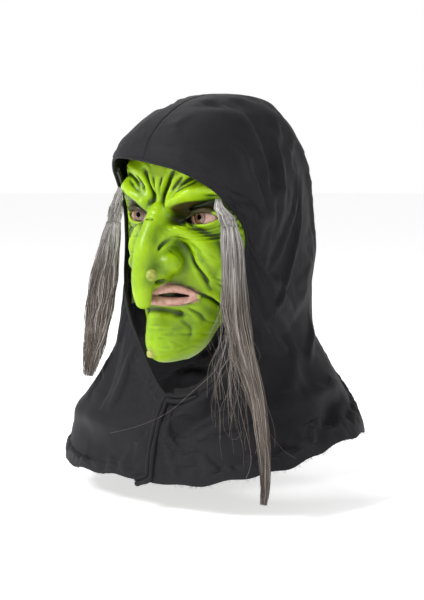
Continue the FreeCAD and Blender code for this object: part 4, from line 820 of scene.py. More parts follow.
PANEL_R = np.array([
    [[0, -112.4, 51.5], [0, -99.5, 75.1], [0, -78, 92], [0, -52.8, 104.1], [0, -23.8, 111.3], [0, 7, 113.5], [0, 40.7, 109.6], [0, 70.2, 95.2], [0, 89.7, 70.5], [0, 99.9, 42.3], [0, 104.5, 13.8], [0, 106, -14.2], [0, 104.3, -42], [0, 101.4, -69.4], [0, 98.4, -96.6], [0, 97, -124], [0, 97.3, -151.5], [0, 100.4, -178.8], [0, 104.8, -206]],
    [[12.7, -111.7, 52.9], [20, -97.9, 74.4], [25.6, -76.2, 88.9], [30.7, -51.2, 99], [35.5, -23.9, 104.5], [40, 5.9, 105.2], [43.3, 36.1, 98.5], [42.5, 63.1, 82.4], [39.1, 82.2, 59.5], [34.3, 93.2, 33.5], [29.8, 98.9, 6.7], [26.2, 101.3, -20.2], [23, 100.4, -47], [20.7, 98.3, -73.7], [19.3, 96.1, -100.2], [18.9, 95.6, -126.9], [19, 96.6, -153.6], [19.7, 99.8, -180.1], [21, 104, -206.4]],
    [[25.4, -109.2, 54], [38.3, -94.5, 69.2], [47, -72.7, 78.3], [54.3, -48.8, 83.2], [60.2, -23.7, 83.8], [64.3, 1.7, 79.6], [66.7, 26.7, 70.4], [65.7, 48.9, 55.5], [61.6, 66, 35.9], [56.1, 77.8, 13.7], [51, 85.4, -9.9], [45.9, 89.4, -34.3], [41.7, 90.6, -59], [38.4, 90.3, -83.7], [36.7, 90.1, -108.5], [36.7, 91.9, -133.4], [37.3, 94.3, -158.3], [38.6, 97.9, -183.1], [40.3, 101.8, -207.7]],
    [[38.2, -104, 53.9], [52.3, -87.8, 60.1], [61.9, -67.3, 63], [68, -45.3, 62.7], [72, -23.1, 59], [74.7, -1.6, 51.9], [76.1, 18.7, 41.2], [74.8, 36.8, 27], [71.7, 51.5, 9.7], [67.7, 62.9, -9.7], [63.2, 70.8, -30.6], [58.7, 75.9, -52.4], [54.9, 78.7, -74.6], [52.4, 80.4, -97.1], [51.9, 82.9, -119.6], [53.3, 87.1, -141.9], [54.7, 90.8, -164.5], [56.5, 94.6, -187], [58.6, 98.1, -209.5]],
    [[50.5, -95.4, 50.8], [62.2, -79.3, 48.9], [69.8, -60.5, 46.2], [74.3, -41, 41.9], [76.9, -21.9, 35.4], [78.4, -3.7, 26.4], [79.2, 13.1, 14.9], [78.5, 28, 1], [76.5, 40.6, -15.1], [73.6, 50.6, -32.7], [70.3, 58.1, -51.6], [67.2, 63.6, -71.2], [64.7, 67.4, -91.2], [64.3, 71.2, -111.3], [66.5, 76.5, -131], [69, 81.6, -150.9], [71.2, 86, -171.1], [73.5, 89.9, -191.4], [75.8, 92.8, -211.9]],
    [[60, -84.8, 42.4], [67.7, -69.6, 35.9], [72.9, -53.1, 29.7], [76.4, -36.5, 22.5], [78.7, -20.2, 14], [80, -5, 3.7], [80.7, 9, -8.4], [80.4, 21.4, -22.2], [79, 31.9, -37.5], [77.2, 40.6, -53.9], [75.2, 47.5, -71.2], [73.5, 53, -89], [73.6, 57.9, -107], [76.2, 63.5, -124.6], [80.7, 70.3, -141.5], [84, 75.7, -159.2], [86.8, 80, -177.5], [89.4, 83.7, -196], [91.8, 86.2, -214.8]],
    [[66.1, -72.8, 31.2], [70.8, -60.1, 22.4], [74.7, -46.5, 13.7], [77.6, -32.6, 4.5], [79.7, -19.1, -5.5], [80.9, -6.3, -16.8], [81.4, 5.3, -29.2], [81.3, 15.6, -42.9], [80.8, 24.5, -57.5], [79.9, 32.1, -72.9], [79.2, 38.3, -88.8], [80.1, 44, -105], [83, 49.7, -120.8], [89.1, 56.7, -135.3], [94.1, 63, -150.7], [98.2, 68.5, -166.8], [101.4, 72.8, -183.4], [104, 76, -200.5], [106.2, 78.1, -217.8]],
    [[70, -62.2, 19], [73, -52.6, 8.7], [76, -41.6, -1.6], [78.3, -30.2, -12.2], [80.1, -19, -23.2], [81.1, -8.4, -35], [81.8, 1.3, -47.6], [82.1, 10, -61], [82.3, 17.6, -75], [82.5, 24.1, -89.5], [84.2, 30.1, -104.2], [87.7, 35.8, -118.5], [94.5, 42.2, -131.5], [101.2, 48.8, -144.7], [106.8, 54.7, -158.7], [111.1, 59.7, -173.5], [114.6, 64, -188.8], [116.9, 66.8, -204.8], [118.8, 68.7, -221]],
    [[72.2, -55.3, 6.5], [74.2, -48, -4.9], [76.5, -39.2, -16.1], [78.5, -29.8, -27.5], [80, -20.5, -39.1], [81.2, -11.7, -51.1], [82.2, -3.5, -63.7], [83, 3.8, -76.7], [83.9, 10.4, -90.2], [86.3, 16.2, -103.7], [90.3, 21.8, -116.9], [97.2, 27.5, -129], [105.3, 33.5, -140.3], [112.1, 39.3, -152.6], [118, 44.7, -165.6], [122.6, 49.5, -179.4], [126.1, 53.4, -193.9], [128.1, 56.1, -208.9], [129.5, 58, -224.2]],
    [[72.7, -52.7, -6.3], [74.5, -46.5, -18], [76.3, -39.2, -29.7], [78.1, -31.4, -41.4], [79.7, -23.6, -53.2], [81.2, -16.2, -65.3], [82.5, -9.3, -77.6], [83.9, -3, -90.3], [86.6, 2.6, -103], [90.9, 7.8, -115.5], [97.7, 12.8, -126.9], [106.3, 17.9, -137.1], [114, 23, -148], [121.2, 28.1, -159.5], [127.2, 32.9, -171.8], [132.2, 37.4, -184.7], [135.4, 41.1, -198.5], [137.1, 43.9, -212.7], [138.1, 46.3, -227.2]],
    [[72.2, -52.8, -19.1], [73.7, -47.3, -30.8], [75.4, -41.1, -42.5], [77.3, -34.6, -54.2], [79.1, -28.1, -66], [80.8, -21.8, -77.8], [82.6, -15.9, -89.9], [85.5, -10.7, -102], [90, -6, -113.8], [96.2, -1.7, -124.9], [104.8, 2.5, -134.6], [113.1, 6.8, -144.5], [120.9, 11, -154.8], [128.1, 15.3, -165.8], [134.1, 19.5, -177.4], [139.1, 23.5, -189.7], [142, 27.1, -202.9], [143.6, 30.4, -216.3], [144.3, 33.6, -230.1]],
    [[71, -54.1, -31.8], [72.3, -49.8, -43.2], [74.1, -44.6, -54.7], [76.1, -39.1, -66.1], [78, -33.5, -77.6], [80.2, -28.1, -89.1], [83.2, -23.4, -100.6], [87.6, -19.2, -111.8], [93.4, -15.5, -122.7], [101.7, -12.3, -131.9], [110.1, -9, -141.1], [117.9, -5.6, -150.9], [125.4, -2.2, -160.9], [132.1, 1.3, -171.6], [138.1, 4.9, -182.6], [142.8, 8.2, -194.4], [145.6, 11.7, -206.8], [147.3, 15.5, -219.5], [148.2, 19.9, -232.5]],
    [[68.5, -57.9, -44.3], [70.1, -53.9, -55.2], [72, -49.3, -66.2], [74.1, -44.5, -77.2], [76.4, -39.7, -88.2], [79.4, -35.3, -99.1], [83.8, -31.7, -109.8], [89.1, -28.6, -120.2], [96.9, -26.2, -129.3], [105.3, -23.9, -137.8], [113.2, -21.5, -146.8], [120.9, -19, -156.1], [128, -16.4, -165.9], [134.2, -13.7, -176.2], [139.8, -10.9, -186.9], [143.7, -8, -198.3], [146.4, -4.9, -210.1], [148.2, -1.1, -222.1], [149.6, 5, -234.3]],
    [[64.7, -63.3, -56.5], [66.8, -59.1, -66.8], [69, -54.8, -77.2], [71.4, -50.4, -87.5], [74.4, -46.5, -97.9], [78.5, -43.3, -108.1], [83.5, -40.7, -117.9], [90.5, -39, -126.9], [98.6, -37.7, -134.9], [106.6, -36.3, -143.2], [114.2, -34.8, -151.8], [121.6, -33.1, -160.6], [128.2, -31.3, -170.1], [134.2, -29.3, -179.9], [139.4, -27.3, -190.2], [143, -25.1, -201.2], [145.6, -22.9, -212.4], [147.4, -21.2, -223.8], [148.7, -20.8, -235.6]],
    [[60, -68.5, -68.4], [62.5, -64.4, -78], [65.1, -60.4, -87.7], [68.1, -56.8, -97.4], [72, -53.9, -107], [76.7, -51.7, -116.3], [82.8, -50.5, -125], [90.4, -50, -132.7], [98.2, -49.6, -140.3], [105.5, -48.9, -148.4], [112.9, -48.2, -156.4], [119.9, -47.4, -164.8], [126.1, -46.2, -173.9], [131.8, -45, -183.2], [136.7, -43.5, -193.2], [140.1, -41.8, -203.6], [142.7, -40.2, -214.2], [144.5, -39.1, -224.9], [145.8, -38.8, -236]],
    [[54.6, -72.8, -80], [57.5, -69.2, -88.8], [60.6, -66, -97.8], [64.4, -63.3, -106.8], [68.8, -61.4, -115.6], [74.2, -60.5, -124], [81, -60.7, -131.4], [88.2, -61.1, -138.6], [95.1, -61.1, -146.1], [102.2, -61.3, -153.6], [109.1, -61.4, -161.1], [115.5, -61.1, -169.3], [121.3, -60.6, -177.8], [126.7, -59.9, -186.7], [131.2, -58.8, -196.1], [134.6, -57.5, -205.8], [137.3, -56.1, -215.7], [139.4, -54.9, -225.8], [140.9, -54.1, -236]],
    [[48.5, -76.6, -91.2], [51.8, -73.8, -99.3], [55.5, -71.4, -107.5], [59.6, -69.7, -115.7], [64.6, -69.1, -123.6], [70.7, -69.7, -130.8], [77.1, -70.6, -137.8], [83.4, -71.2, -144.9], [89.9, -72, -151.9], [96.5, -73, -158.8], [102.8, -73.6, -166.2], [108.5, -73.7, -174], [114, -73.7, -182], [119, -73.3, -190.4], [123.2, -72.5, -199.2], [126.7, -71.4, -208.2], [129.7, -70.2, -217.3], [132.1, -68.9, -226.6], [134.1, -67.6, -236]],
    [[41.5, -80, -101.9], [45.2, -78, -109.2], [49.3, -76.5, -116.8], [54, -76.2, -124.1], [59.5, -77, -131], [65.1, -78.1, -137.7], [70.8, -79.1, -144.5], [76.6, -80.4, -151.1], [82.6, -82, -157.6], [88.5, -83.3, -164.3], [94, -84, -171.5], [99.2, -84.6, -178.8], [104.3, -85, -186.3], [108.8, -84.9, -194.2], [112.9, -84.3, -202.3], [116.5, -83.5, -210.6], [119.8, -82.4, -218.9], [122.7, -81, -227.4], [125.3, -79.5, -236]],
    [[33.9, -82.7, -112.1], [38, -81.7, -118.8], [42.5, -81.7, -125.5], [47.5, -82.6, -131.9], [52.5, -83.8, -138.3], [57.6, -85, -144.8], [62.8, -86.7, -151.1], [68.1, -88.6, -157.2], [73.3, -90.4, -163.4], [78.4, -91.8, -170], [83.2, -92.8, -176.8], [88, -93.7, -183.7], [92.5, -94.3, -190.8], [96.8, -94.4, -198.1], [100.7, -94.1, -205.5], [104.5, -93.6, -213], [108, -92.7, -220.6], [111.4, -91.4, -228.3], [114.7, -89.8, -236]],
    [[25.8, -85.2, -122], [30.3, -85.7, -127.9], [34.9, -86.7, -133.8], [39.6, -87.9, -139.7], [44.2, -89.2, -145.8], [48.7, -91.1, -151.6], [53.3, -93.3, -157.4], [57.9, -95.4, -163.2], [62.4, -97.2, -169.4], [66.7, -98.6, -175.7], [71, -99.9, -182], [75.1, -101, -188.5], [79.2, -101.7, -195.2], [83.1, -102, -201.9], [86.9, -102, -208.7], [90.7, -101.8, -215.5], [94.4, -101.1, -222.3], [98.2, -100, -229.1], [102.2, -98.6, -236]],
    [[17.6, -88.4, -131.8], [22, -89.5, -136.8], [26.4, -90.6, -142], [30.7, -92.1, -147.4], [34.8, -94.1, -152.7], [38.8, -96.5, -158.1], [42.6, -98.7, -163.7], [46.4, -100.7, -169.4], [50, -102.4, -175.3], [53.7, -104, -181.2], [57.3, -105.4, -187.3], [60.8, -106.5, -193.4], [64.4, -107.3, -199.6], [67.9, -107.9, -205.8], [71.5, -108.2, -212], [75.2, -108.2, -218.1], [79.1, -107.8, -224.1], [83.2, -107, -230.1], [87.9, -105.8, -236]],
    [[9.1, -91.5, -141.3], [13.1, -92.5, -145.3], [17.1, -94.1, -149.6], [20.9, -96.1, -154.2], [24.4, -98.4, -159.2], [27.6, -100.7, -164.4], [30.6, -102.7, -169.8], [33.6, -104.6, -175.3], [36.4, -106.3, -180.9], [39.3, -108, -186.6], [42.2, -109.4, -192.3], [45.1, -110.5, -198], [48, -111.5, -203.8], [51.1, -112.2, -209.5], [54.4, -112.7, -215.2], [57.9, -112.9, -220.7], [61.7, -112.8, -226], [66.2, -112.3, -231], [71.5, -111.5, -236]],
    [[0, -94.7, -150.3], [3.3, -95.8, -152.7], [6.8, -97.4, -155.9], [9.9, -99.4, -160], [12.6, -101.5, -164.7], [15, -103.5, -169.8], [17.2, -105.4, -175], [19.3, -107.3, -180.3], [21.4, -109, -185.6], [23.4, -110.5, -191], [25.5, -111.9, -196.5], [27.7, -113, -202], [29.9, -114.1, -207.4], [32.3, -115, -212.8], [34.9, -115.6, -218.1], [38, -116, -223], [41.5, -116.2, -227.6], [46.3, -116.1, -231.9], [53, -115.5, -236]],
    [[-10.4, -98.2, -157.7], [-7.8, -98.5, -158.2], [-5, -99.6, -160.3], [-2.6, -101.2, -163.8], [-0.8, -103.1, -168.3], [0.7, -105, -173.2], [2.2, -106.8, -178.2], [3.5, -108.6, -183.3], [4.7, -110.2, -188.5], [5.9, -111.7, -193.7], [7.1, -113, -199], [8.4, -114.1, -204.2], [9.8, -115.2, -209.5], [11.2, -116.1, -214.6], [12.8, -116.9, -219.6], [14.7, -117.4, -224.3], [17.4, -117.8, -228.5], [21.9, -118.1, -232.4], [31.3, -118, -236]],
    [[-22, -100.4, -163], [-20.3, -99.7, -161.2], [-17.3, -100.2, -162.1], [-16, -101.6, -165.1], [-15.6, -103.3, -169.2], [-14.8, -105.1, -173.9], [-13.9, -106.9, -178.8], [-13.3, -108.6, -183.8], [-13.2, -110.2, -188.8], [-12.9, -111.6, -193.9], [-12.4, -112.9, -198.9], [-12, -114.1, -204.1], [-11.7, -115.1, -209.2], [-11.6, -116.1, -214.2], [-11.5, -116.8, -219.2], [-11.3, -117.4, -223.8], [-11.2, -117.9, -228.1], [-11.1, -118.3, -232], [0, -118.8, -236]],
])


def catmull(a, n):
    # n rows evenly placed along the first axis of a.
    m = len(a)
    t = np.linspace(0, m - 1, n)
    i = np.clip(t.astype(int), 0, m - 2)
    f = (t - i).reshape((-1,) + (1,) * (a.ndim - 1))
    ext = np.concatenate([[2 * a[0] - a[1]], a, [2 * a[-1] - a[-2]]])
    p0, p1, p2, p3 = ext[i], ext[i + 1], ext[i + 2], ext[i + 3]
    return 0.5 * (2 * p1 + (p2 - p0) * f + (2 * p0 - 5 * p1 + 4 * p2 - p3) * f ** 2 + (3 * p1 - p0 - 3 * p2 + p3) * f ** 3)


# Folds as lines on the cloth (mm): half-width, height outward (a negative one is a valley), points.
FOLDS = [
    (4.5, 4.2, [(62, -66, 70), (67.7, -55.7, 57.6), (71.7, -52, 43.2), (74.1, -44.6, 28.8), (75.9, -37.8, 14.2), (76.8, -35.9, -3.9), (76, -37.9, -22)]),
    (4.2, 3.6, [(66, -42, 72), (73.9, -30.4, 50.1), (76.3, -30.6, 32), (78.1, -26.9, 6.6), (79.1, -25, -11.6), (77.8, -29.4, -36.9)]),
    (4.2, 3.2, [(62, -6, 78), (72.2, -6, 58.8), (77.5, -10.1, 33.4), (79, -13.9, 9.7), (79.5, -19.2, -19.2), (78.6, -27.4, -35.2)]),
    (4.0, 3.0, [(70, 24, 56), (77, 19.8, 30.7), (78.7, 14.2, 16.1), (80.5, 1.7, -9.2), (80.5, -11.1, -32.4), (79, -24.8, -48.1)]),
    (3.8, 4.0, [(74, 36, 34), (78, 26.8, 11.9), (79.9, 20.7, -10.2), (81.4, 5.5, -42.7), (81.4, -12.3, -70.9), (80.1, -26.3, -86.2), (78.9, -37, -102.6)]),
    (3.6, 2.6, [(82, 46, -84), (82.7, 37.2, -106.1), (90, 24.6, -117.4), (101.3, 4.4, -130.9)]),
    (4.0, -1.0, [(66.9, -65.1, 50.6), (70.2, -62.1, 32.7), (73.1, -52.4, 11)]),
    (16.0, -4.5, [(74, -46, -92), (76, -44, -104), (79, -48, -116), (84, -52, -128)]),
    (8.5, 5.5, [(84, -52, -112), (71.6, -69.8, -132.1), (58.1, -87.4, -150.9), (42, -98.6, -167), (27.5, -106.1, -182), (10, -112.2, -198), (-14, -114, -206)]),
    (8.0, -3.5, [(92, -60, -134), (77.1, -80, -150), (62, -96, -168), (46, -105, -184), (30, -111.4, -199)]),
    (9.5, 4.0, [(112, -60, -158), (94.4, -82, -168), (82.2, -90.1, -173), (66.3, -100, -182), (50, -108, -196)]),
    (8.0, 4.0, [(-62, -66, -108), (-49.1, -76.1, -117), (-28.4, -86.3, -131), (-12.5, -91.2, -146), (-4, -98, -160)]),
    (9.0, -4.0, [(-64, -74, -134), (-66.3, -87.8, -155.6), (-58, -94.6, -170)]),
    (9.5, 5.0, [(-118, -62, -178), (-100.3, -84, -184), (-59.9, -103.7, -186), (-29.2, -108.3, -188), (-6, -109, -184)]),
    (7.0, -3.2, [(-34, -100, -166), (-18, -103, -170), (-6, -104, -172)]),
    (9.0, -3.4, [(-80, -104, -212), (-50, -111, -210), (-17, -114.2, -209)]),
    (9.0, 3.6, [(90, 6, -118), (98, -14, -128), (106, -30, -142), (112, -44, -158)]),
    (8.0, 4.0, [(112, 38, -152), (120.1, 16, -154), (120.5, -8, -156), (118, -28, -160)]),
    (9.0, -4.0, [(120, 30, -160), (126.5, 2.7, -167), (133.3, -11.1, -178), (137.6, -30.6, -190), (136, -45.6, -204)]),
    (3.4, 1.9, [(-24, -93, 76), (-14, -72, 94), (-3, -56, 102), (14, -40, 106)]),
    (2.6, -1.2, [(20, -96, 77), (24, -100, 70), (29, -103, 62)]),
    (8.0, 2.2, [(4, -109, 60), (21.3, -107.8, 60), (39.6, -100, 60), (52, -86, 58), (60, -70, 58)]),
    (5.0, -1.6, [(30, -98, 70), (46, -84, 70), (56, -66, 72), (62, -50, 74)]),
    (5.0, 2.6, [(54, 30, 82), (62, 52, 56), (66, 62, 24), (66, 66, -14), (64, 66, -60)]),
    (5.0, 2.8, [(34, 62, 84), (42, 80, 50), (46, 90, 10), (44, 92, -40), (50, 86, -90), (66, 76, -130)]),
    (4.6, 2.6, [(14, 74, 82), (18, 92, 50), (20, 100, 4), (18, 100, -50), (24, 94, -100), (34, 94, -140), (40, 98, -180)]),
    (5.0, 2.8, [(-22, 70, 84), (-28, 86, 52), (-30, 96, 8), (-28, 98, -40), (-34, 92, -92), (-50, 88, -134), (-62, 88, -176)]),
    (5.0, 2.8, [(-46, 46, 82), (-56, 62, 50), (-58, 76, 6), (-58, 78, -40), (-62, 74, -86), (-80, 66, -128), (-98, 58, -170)]),
    (4.6, 2.8, [(-64, 8, 72), (-74, 16, 40), (-78, 20, 0), (-80, 8, -40), (-80, -10, -78), (-84, -20, -104)]),
    (4.4, 3.0, [(-64, -34, 70), (-74, -28, 44), (-78, -24, 10), (-79, -26, -20), (-78, -34, -56)]),
]


def line_relief(p):
    total = np.zeros(len(p))
    for width, height, pts in FOLDS:
        path = onto(catmull(np.array(pts, float), 4 * len(pts)))
        best = np.full(len(p), 1e9)
        u = np.zeros(len(p))
        n = len(path) - 1
        near = (np.abs(p - path.mean(0)) < (np.ptp(path, axis=0) / 2 + 3.2 * width + 12)).all(1)
        q = p[near]
        b, w_ = np.full(len(q), 1e9), np.zeros(len(q))
        for k in range(n):
            a, c = path[k], path[k + 1]
            ac = c - a
            t = np.clip(((q - a) @ ac) / (ac @ ac), 0, 1)
            dd = np.linalg.norm(q - a - t[:, None] * ac, axis=1)
            m = dd < b
            b = np.where(m, dd, b)
            w_ = np.where(m, (k + t) / n, w_)
        best[near], u[near] = b, w_
        total += 1.25 * height * np.sin(np.pi * np.clip(u, 0.03, 0.97)) ** 0.7 * np.exp(-(best / width) ** 2)
    return total


def soft_noise(p, scale, seed):
    # A few random plane waves: smooth, seeded unevenness.
    r_ = np.random.default_rng(seed)
    out = np.zeros(len(p))
    for _ in range(9):
        k = r_.normal(size=3)
        k = k / np.linalg.norm(k) * (2 * np.pi / scale) * r_.uniform(0.6, 1.5)
        out += np.sin(p @ k + r_.uniform(0, 6.28))
    return out / 3.0


def fold_height(p):
    h = line_relief(p)
    z = p[:, 2]
    ang = np.arctan2(p[:, 0], -(p[:, 1] - MID_Y))
    low = smooth(-120, -215, z)
    h += low * 1.7 * np.sin(ang * 7 + 0.9 * np.sin(z / 40) + 0.6 + 1.2 * soft_noise(p, 160, 3)) * smooth(0.5, 1.1, np.abs(ang))
    h += 0.55 * soft_noise(p, 60, 5) + 0.25 * soft_noise(p, 24, 6)
    # Over the glued rear band of the face and the strap ends the cloth can only stand out.
    tight = smooth(-22, -32, p[:, 1]) * smooth(-104, -92, z) * smooth(102, 96, z)
    h = np.where(h < 0, h * (1 - tight), h)
    return h


def panel_points(grid, mirror, ni, nj):
    g = catmull(np.swapaxes(catmull(grid, ni), 0, 1), nj)
    g = np.swapaxes(g, 0, 1)
    shape = g.shape
    q = g.reshape(-1, 3).copy()
    inner_rows = np.ones(shape[:2], bool)
    inner_rows[:, 0] = inner_rows[:, -1] = False
    m = inner_rows.ravel()
    q[m] = onto(q[m], 3)
    if mirror:
        q[:, 0] *= -1
    nrm = hood_grad(q)
    nrm /= np.maximum(np.linalg.norm(nrm, axis=1, keepdims=True), 1e-6)
    return q, nrm, shape[0], shape[1]


def grid_faces(ni, nj, flip_):
    a = np.arange(ni - 1)[:, None] * nj + np.arange(nj - 1)[None, :]
    f = np.stack([a, a + 1, a + nj + 1, a + nj], -1).reshape(-1, 4)
    return f[:, ::-1] if flip_ else f


NI, NJ = ((97, 91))
SEAM_DIP = 1.0


def shape_panel(grid, mirror):
    q, nrm, ni, nj = panel_points(grid, mirror, NI, NJ)
    h = fold_height(q)
    i = np.repeat(np.arange(ni), nj) / (ni - 1)
    j = np.tile(np.arange(nj), ni) / (nj - 1)
    # The seams hold the cloth down; the face opening keeps its own line.
    hold = smooth(0.0, 0.07, i) * smooth(0, 0.045, 1 - i) * smooth(0.0, 0.06, j)
    h = h * (0.12 + 0.88 * hold) - 0.75 - SEAM_DIP * np.exp(-(i / 0.018) ** 2)
    q = q + nrm * h[:, None]
    if True:
        side = -1 if mirror else 1
        q[i < 1e-6, 0] = 0.0
        # the raw hem isn't cut quite straight
        q[:, 2] += smooth(0.93, 1.0, j) * (1.2 * np.sin(i * 61 + side) + 1.0 * np.sin(i * 23 + 2 * side)) * smooth(0.0, 0.05, i) * smooth(0, 0.05, 1 - i)
    return q, nrm, ni, nj, i, j


def settle(name, q, ni, nj, i, j, flip_):
    # A short cloth simulation: the panel is cut a little large and held at its seams, so the slack settles into soft folds.
    ob = mesh_object(name, q, grid_faces(ni, nj, flip_), None)
    pin = np.full(len(q), 0.10)
    pin = np.maximum(pin, 1 - smooth(0.0, 0.05, j))
    pin = np.maximum(pin, 1 - smooth(0.0, 0.03, i))
    pin = np.maximum(pin, 1 - smooth(0.0, 0.03, 1 - i))
    pin = np.maximum(pin, 0.9 * smooth(0.86, 1.0, j))
    vg = ob.vertex_groups.new(name="pin")
    for lv in np.unique(np.round(pin, 2)):
        vg.add([int(k) for k in np.nonzero(np.round(pin, 2) == lv)[0]], float(lv), 'REPLACE')
    md = ob.modifiers.new("cloth", 'CLOTH')
    s = md.settings
    s.quality = 6
    s.mass = 0.12
    s.air_damping = 2.0
    s.tension_stiffness = s.compression_stiffness = 30
    s.shear_stiffness = 12
    s.bending_stiffness = 0.35
    s.vertex_group_mass = "pin"
    s.pin_stiffness = 0.6
    s.shrink_min = -0.035
    s.effector_weights.gravity = 0.35
    md.collision_settings.use_collision = False
    md.collision_settings.use_self_collision = False
    md.point_cache.frame_start, md.point_cache.frame_end = 1, 24
    for f in range(1, 25):
        sc.frame_set(f)
    dg = bpy.context.evaluated_depsgraph_get()
    ev = ob.evaluated_get(dg)
    out = np.empty(len(q) * 3, np.float32)
    ev.data.vertices.foreach_get("co", out)
    out = out.reshape(-1, 3).astype(float) * 1000
    me = ob.data
    bpy.data.objects.remove(ob)
    bpy.data.meshes.remove(me)
    sc.frame_set(1)
    return out


def cloth_material(name, inner=False):
    n = Nodes(name)
    co = n.coord()
    weave_a = n.wave(1500.0, n.mapping(co, (1, 1, 1)), 0.6, 'Z')
    weave_b = n.wave(1500.0, n.mapping(co, (1, 1, 1), (0, 0, math.radians(24))), 0.6, 'X')
    weave = n.math('MULTIPLY', weave_a, weave_b)
    cloud = n.noise(14.0, 4.0, 0.55)
    lint = n.ramp(n.noise(900.0, 2.0, 0.8), [(0.70, 0.0), (0.80, 1.0)])
    base = n.ramp(cloud, [(0.30, srgb(24, 23, 26)), (0.55, srgb(31, 30, 33)), (0.80, srgb(39, 37, 41))])
    base = n.mix(n.math('MULTIPLY', weave, 0.35), base, srgb(50, 49, 53))
    base = n.mix(n.math('MULTIPLY', lint, 0.10), base, srgb(120, 118, 120))
    nb = n.bump(weave, 0.25, 0.00025)
    nb = n.bump(n.noise(260.0, 3.0, 0.6), 0.14, 0.0006, nb)
    rough = n.math('ADD', 0.50, n.math('MULTIPLY', cloud, 0.2))
    n.set(color=base, rough=rough, normal=nb, spec=0.14, sheen=0.05, sheen_rough=0.40, sheen_tint=(0.8, 0.8, 0.85))
    return n.mat


CLOTH = cloth_material("black_knit")
PANELS = {}
for nm, grid, mirror in (("left", PANEL_L, False), ("right", PANEL_R, True)):
    q, nrm, ni, nj, i_, j_ = shape_panel(grid, mirror)
    s_ = settle("settling_" + nm, q, ni, nj, i_, j_, mirror)
    mv_ = ((s_ - q) * nrm).sum(1)
    print(nm, "settled by mm", round(float(mv_.min()), 2), round(float(mv_.max()), 2), "mean", round(float(np.abs(mv_).mean()), 2))
    tight = smooth(-22, -32, q[:, 1]) * smooth(-104, -92, q[:, 2]) * smooth(102, 96, q[:, 2])
    lo_lim = -3.5 * (1 - tight) - 0.2 * tight
    cap = np.clip(mv_, lo_lim, 4.0)
    side_ = (s_ - q) - nrm * mv_[:, None]
    ln = np.linalg.norm(side_, axis=1, keepdims=True)
    side_ = side_ * np.minimum(1, 4.0 / np.maximum(ln, 1e-6))
    hold = (smooth(0.0, 0.04, i_) * smooth(0, 0.03, 1 - i_) * smooth(0.0, 0.045, j_) * (0.15 + 0.85 * smooth(0.01, 0.13, 1 - j_)))[:, None]
    q = q + (nrm * cap[:, None] + side_) * hold
    PANELS[nm] = (q, nrm, ni, nj, i_, j_)


def vertex_normals(q, ni, nj, flip_):
    g = q.reshape(ni, nj, 3)
    du = np.gradient(g, axis=0)
    dv = np.gradient(g, axis=1)
    n = np.cross(dv, du)
    n /= np.maximum(np.linalg.norm(n, axis=2, keepdims=True), 1e-9)
    n = n.reshape(-1, 3)
    return -n if flip_ else n


def refine(q, ni, nj, k):
    g = q.reshape(ni, nj, 3)
    g = catmull(np.swapaxes(catmull(g, (ni - 1) * k + 1), 0, 1), (nj - 1) * k + 1)
    return np.swapaxes(g, 0, 1).reshape(-1, 3), (ni - 1) * k + 1, (nj - 1) * k + 1


def sheet_solid(name, q, ni, nj, thick, mat, flip_):
    # The sheet given its thickness: two skins and a rim.
    n = vertex_normals(q, ni, nj, flip_)
    ref = hood_grad(q)
    if (n * ref).sum() < 0:
        n = -n
    outer, inner = q + n * thick / 2, q - n * thick / 2
    v = np.vstack([outer, inner])
    m = ni * nj
    f = grid_faces(ni, nj, False)
    a, b, c, d = [outer[f[:, k]] for k in range(4)]
    fn = np.cross(c - a, d - b)
    if (fn * n[f[:, 0]]).sum() < 0:
        f = f[:, ::-1]
    ring = [r_ * nj for r_ in range(ni)] + [(ni - 1) * nj + c_ for c_ in range(1, nj)] + [r_ * nj + nj - 1 for r_ in range(ni - 2, -1, -1)] + [c_ for c_ in range(nj - 2, 0, -1)]
    ring = np.array(ring)
    nx_ = np.roll(ring, -1)
    rim = np.stack([ring, nx_, nx_ + m, ring + m], -1)
    # orient the rim the same way as the outer skin's border edge
    e0, e1 = ring[0], ring[1]
    hit_ = f[(f == e0).any(1) & (f == e1).any(1)][0]
    k0 = list(hit_).index(e0)
    if hit_[(k0 + 1) % 4] == e1:
        rim = rim[:, ::-1]
    faces = np.vstack([f, f[:, ::-1] + m, rim])
    return mesh_object(name, v, faces, mat)


for nm in ("left", "right"):
    q, nrm, ni, nj, i_, j_ = PANELS[nm]
    q2, ni2, nj2 = refine(q, ni, nj, 2)
    ob = sheet_solid("hood_cloth_" + nm, q2, ni2, nj2, 1.5, CLOTH, nm == "right")
    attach(ob, "mask")
    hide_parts("hood_%s_panel" % nm)


# ---- strips and cords that follow the cloth
def edge_line(nm, n):
    # The face opening's edge from the crown seam to the front line.
    q, nrm, ni, nj, i_, j_ = PANELS[nm]
    g = q.reshape(ni, nj, 3)[:, 0]
    k = nrm.reshape(ni, nj, 3)[:, 0]
    back = q.reshape(ni, nj, 3)[:, 2] - g
    return catmull(g, n), catmull(k, n), catmull(back / np.linalg.norm(back, axis=1, keepdims=True), n)


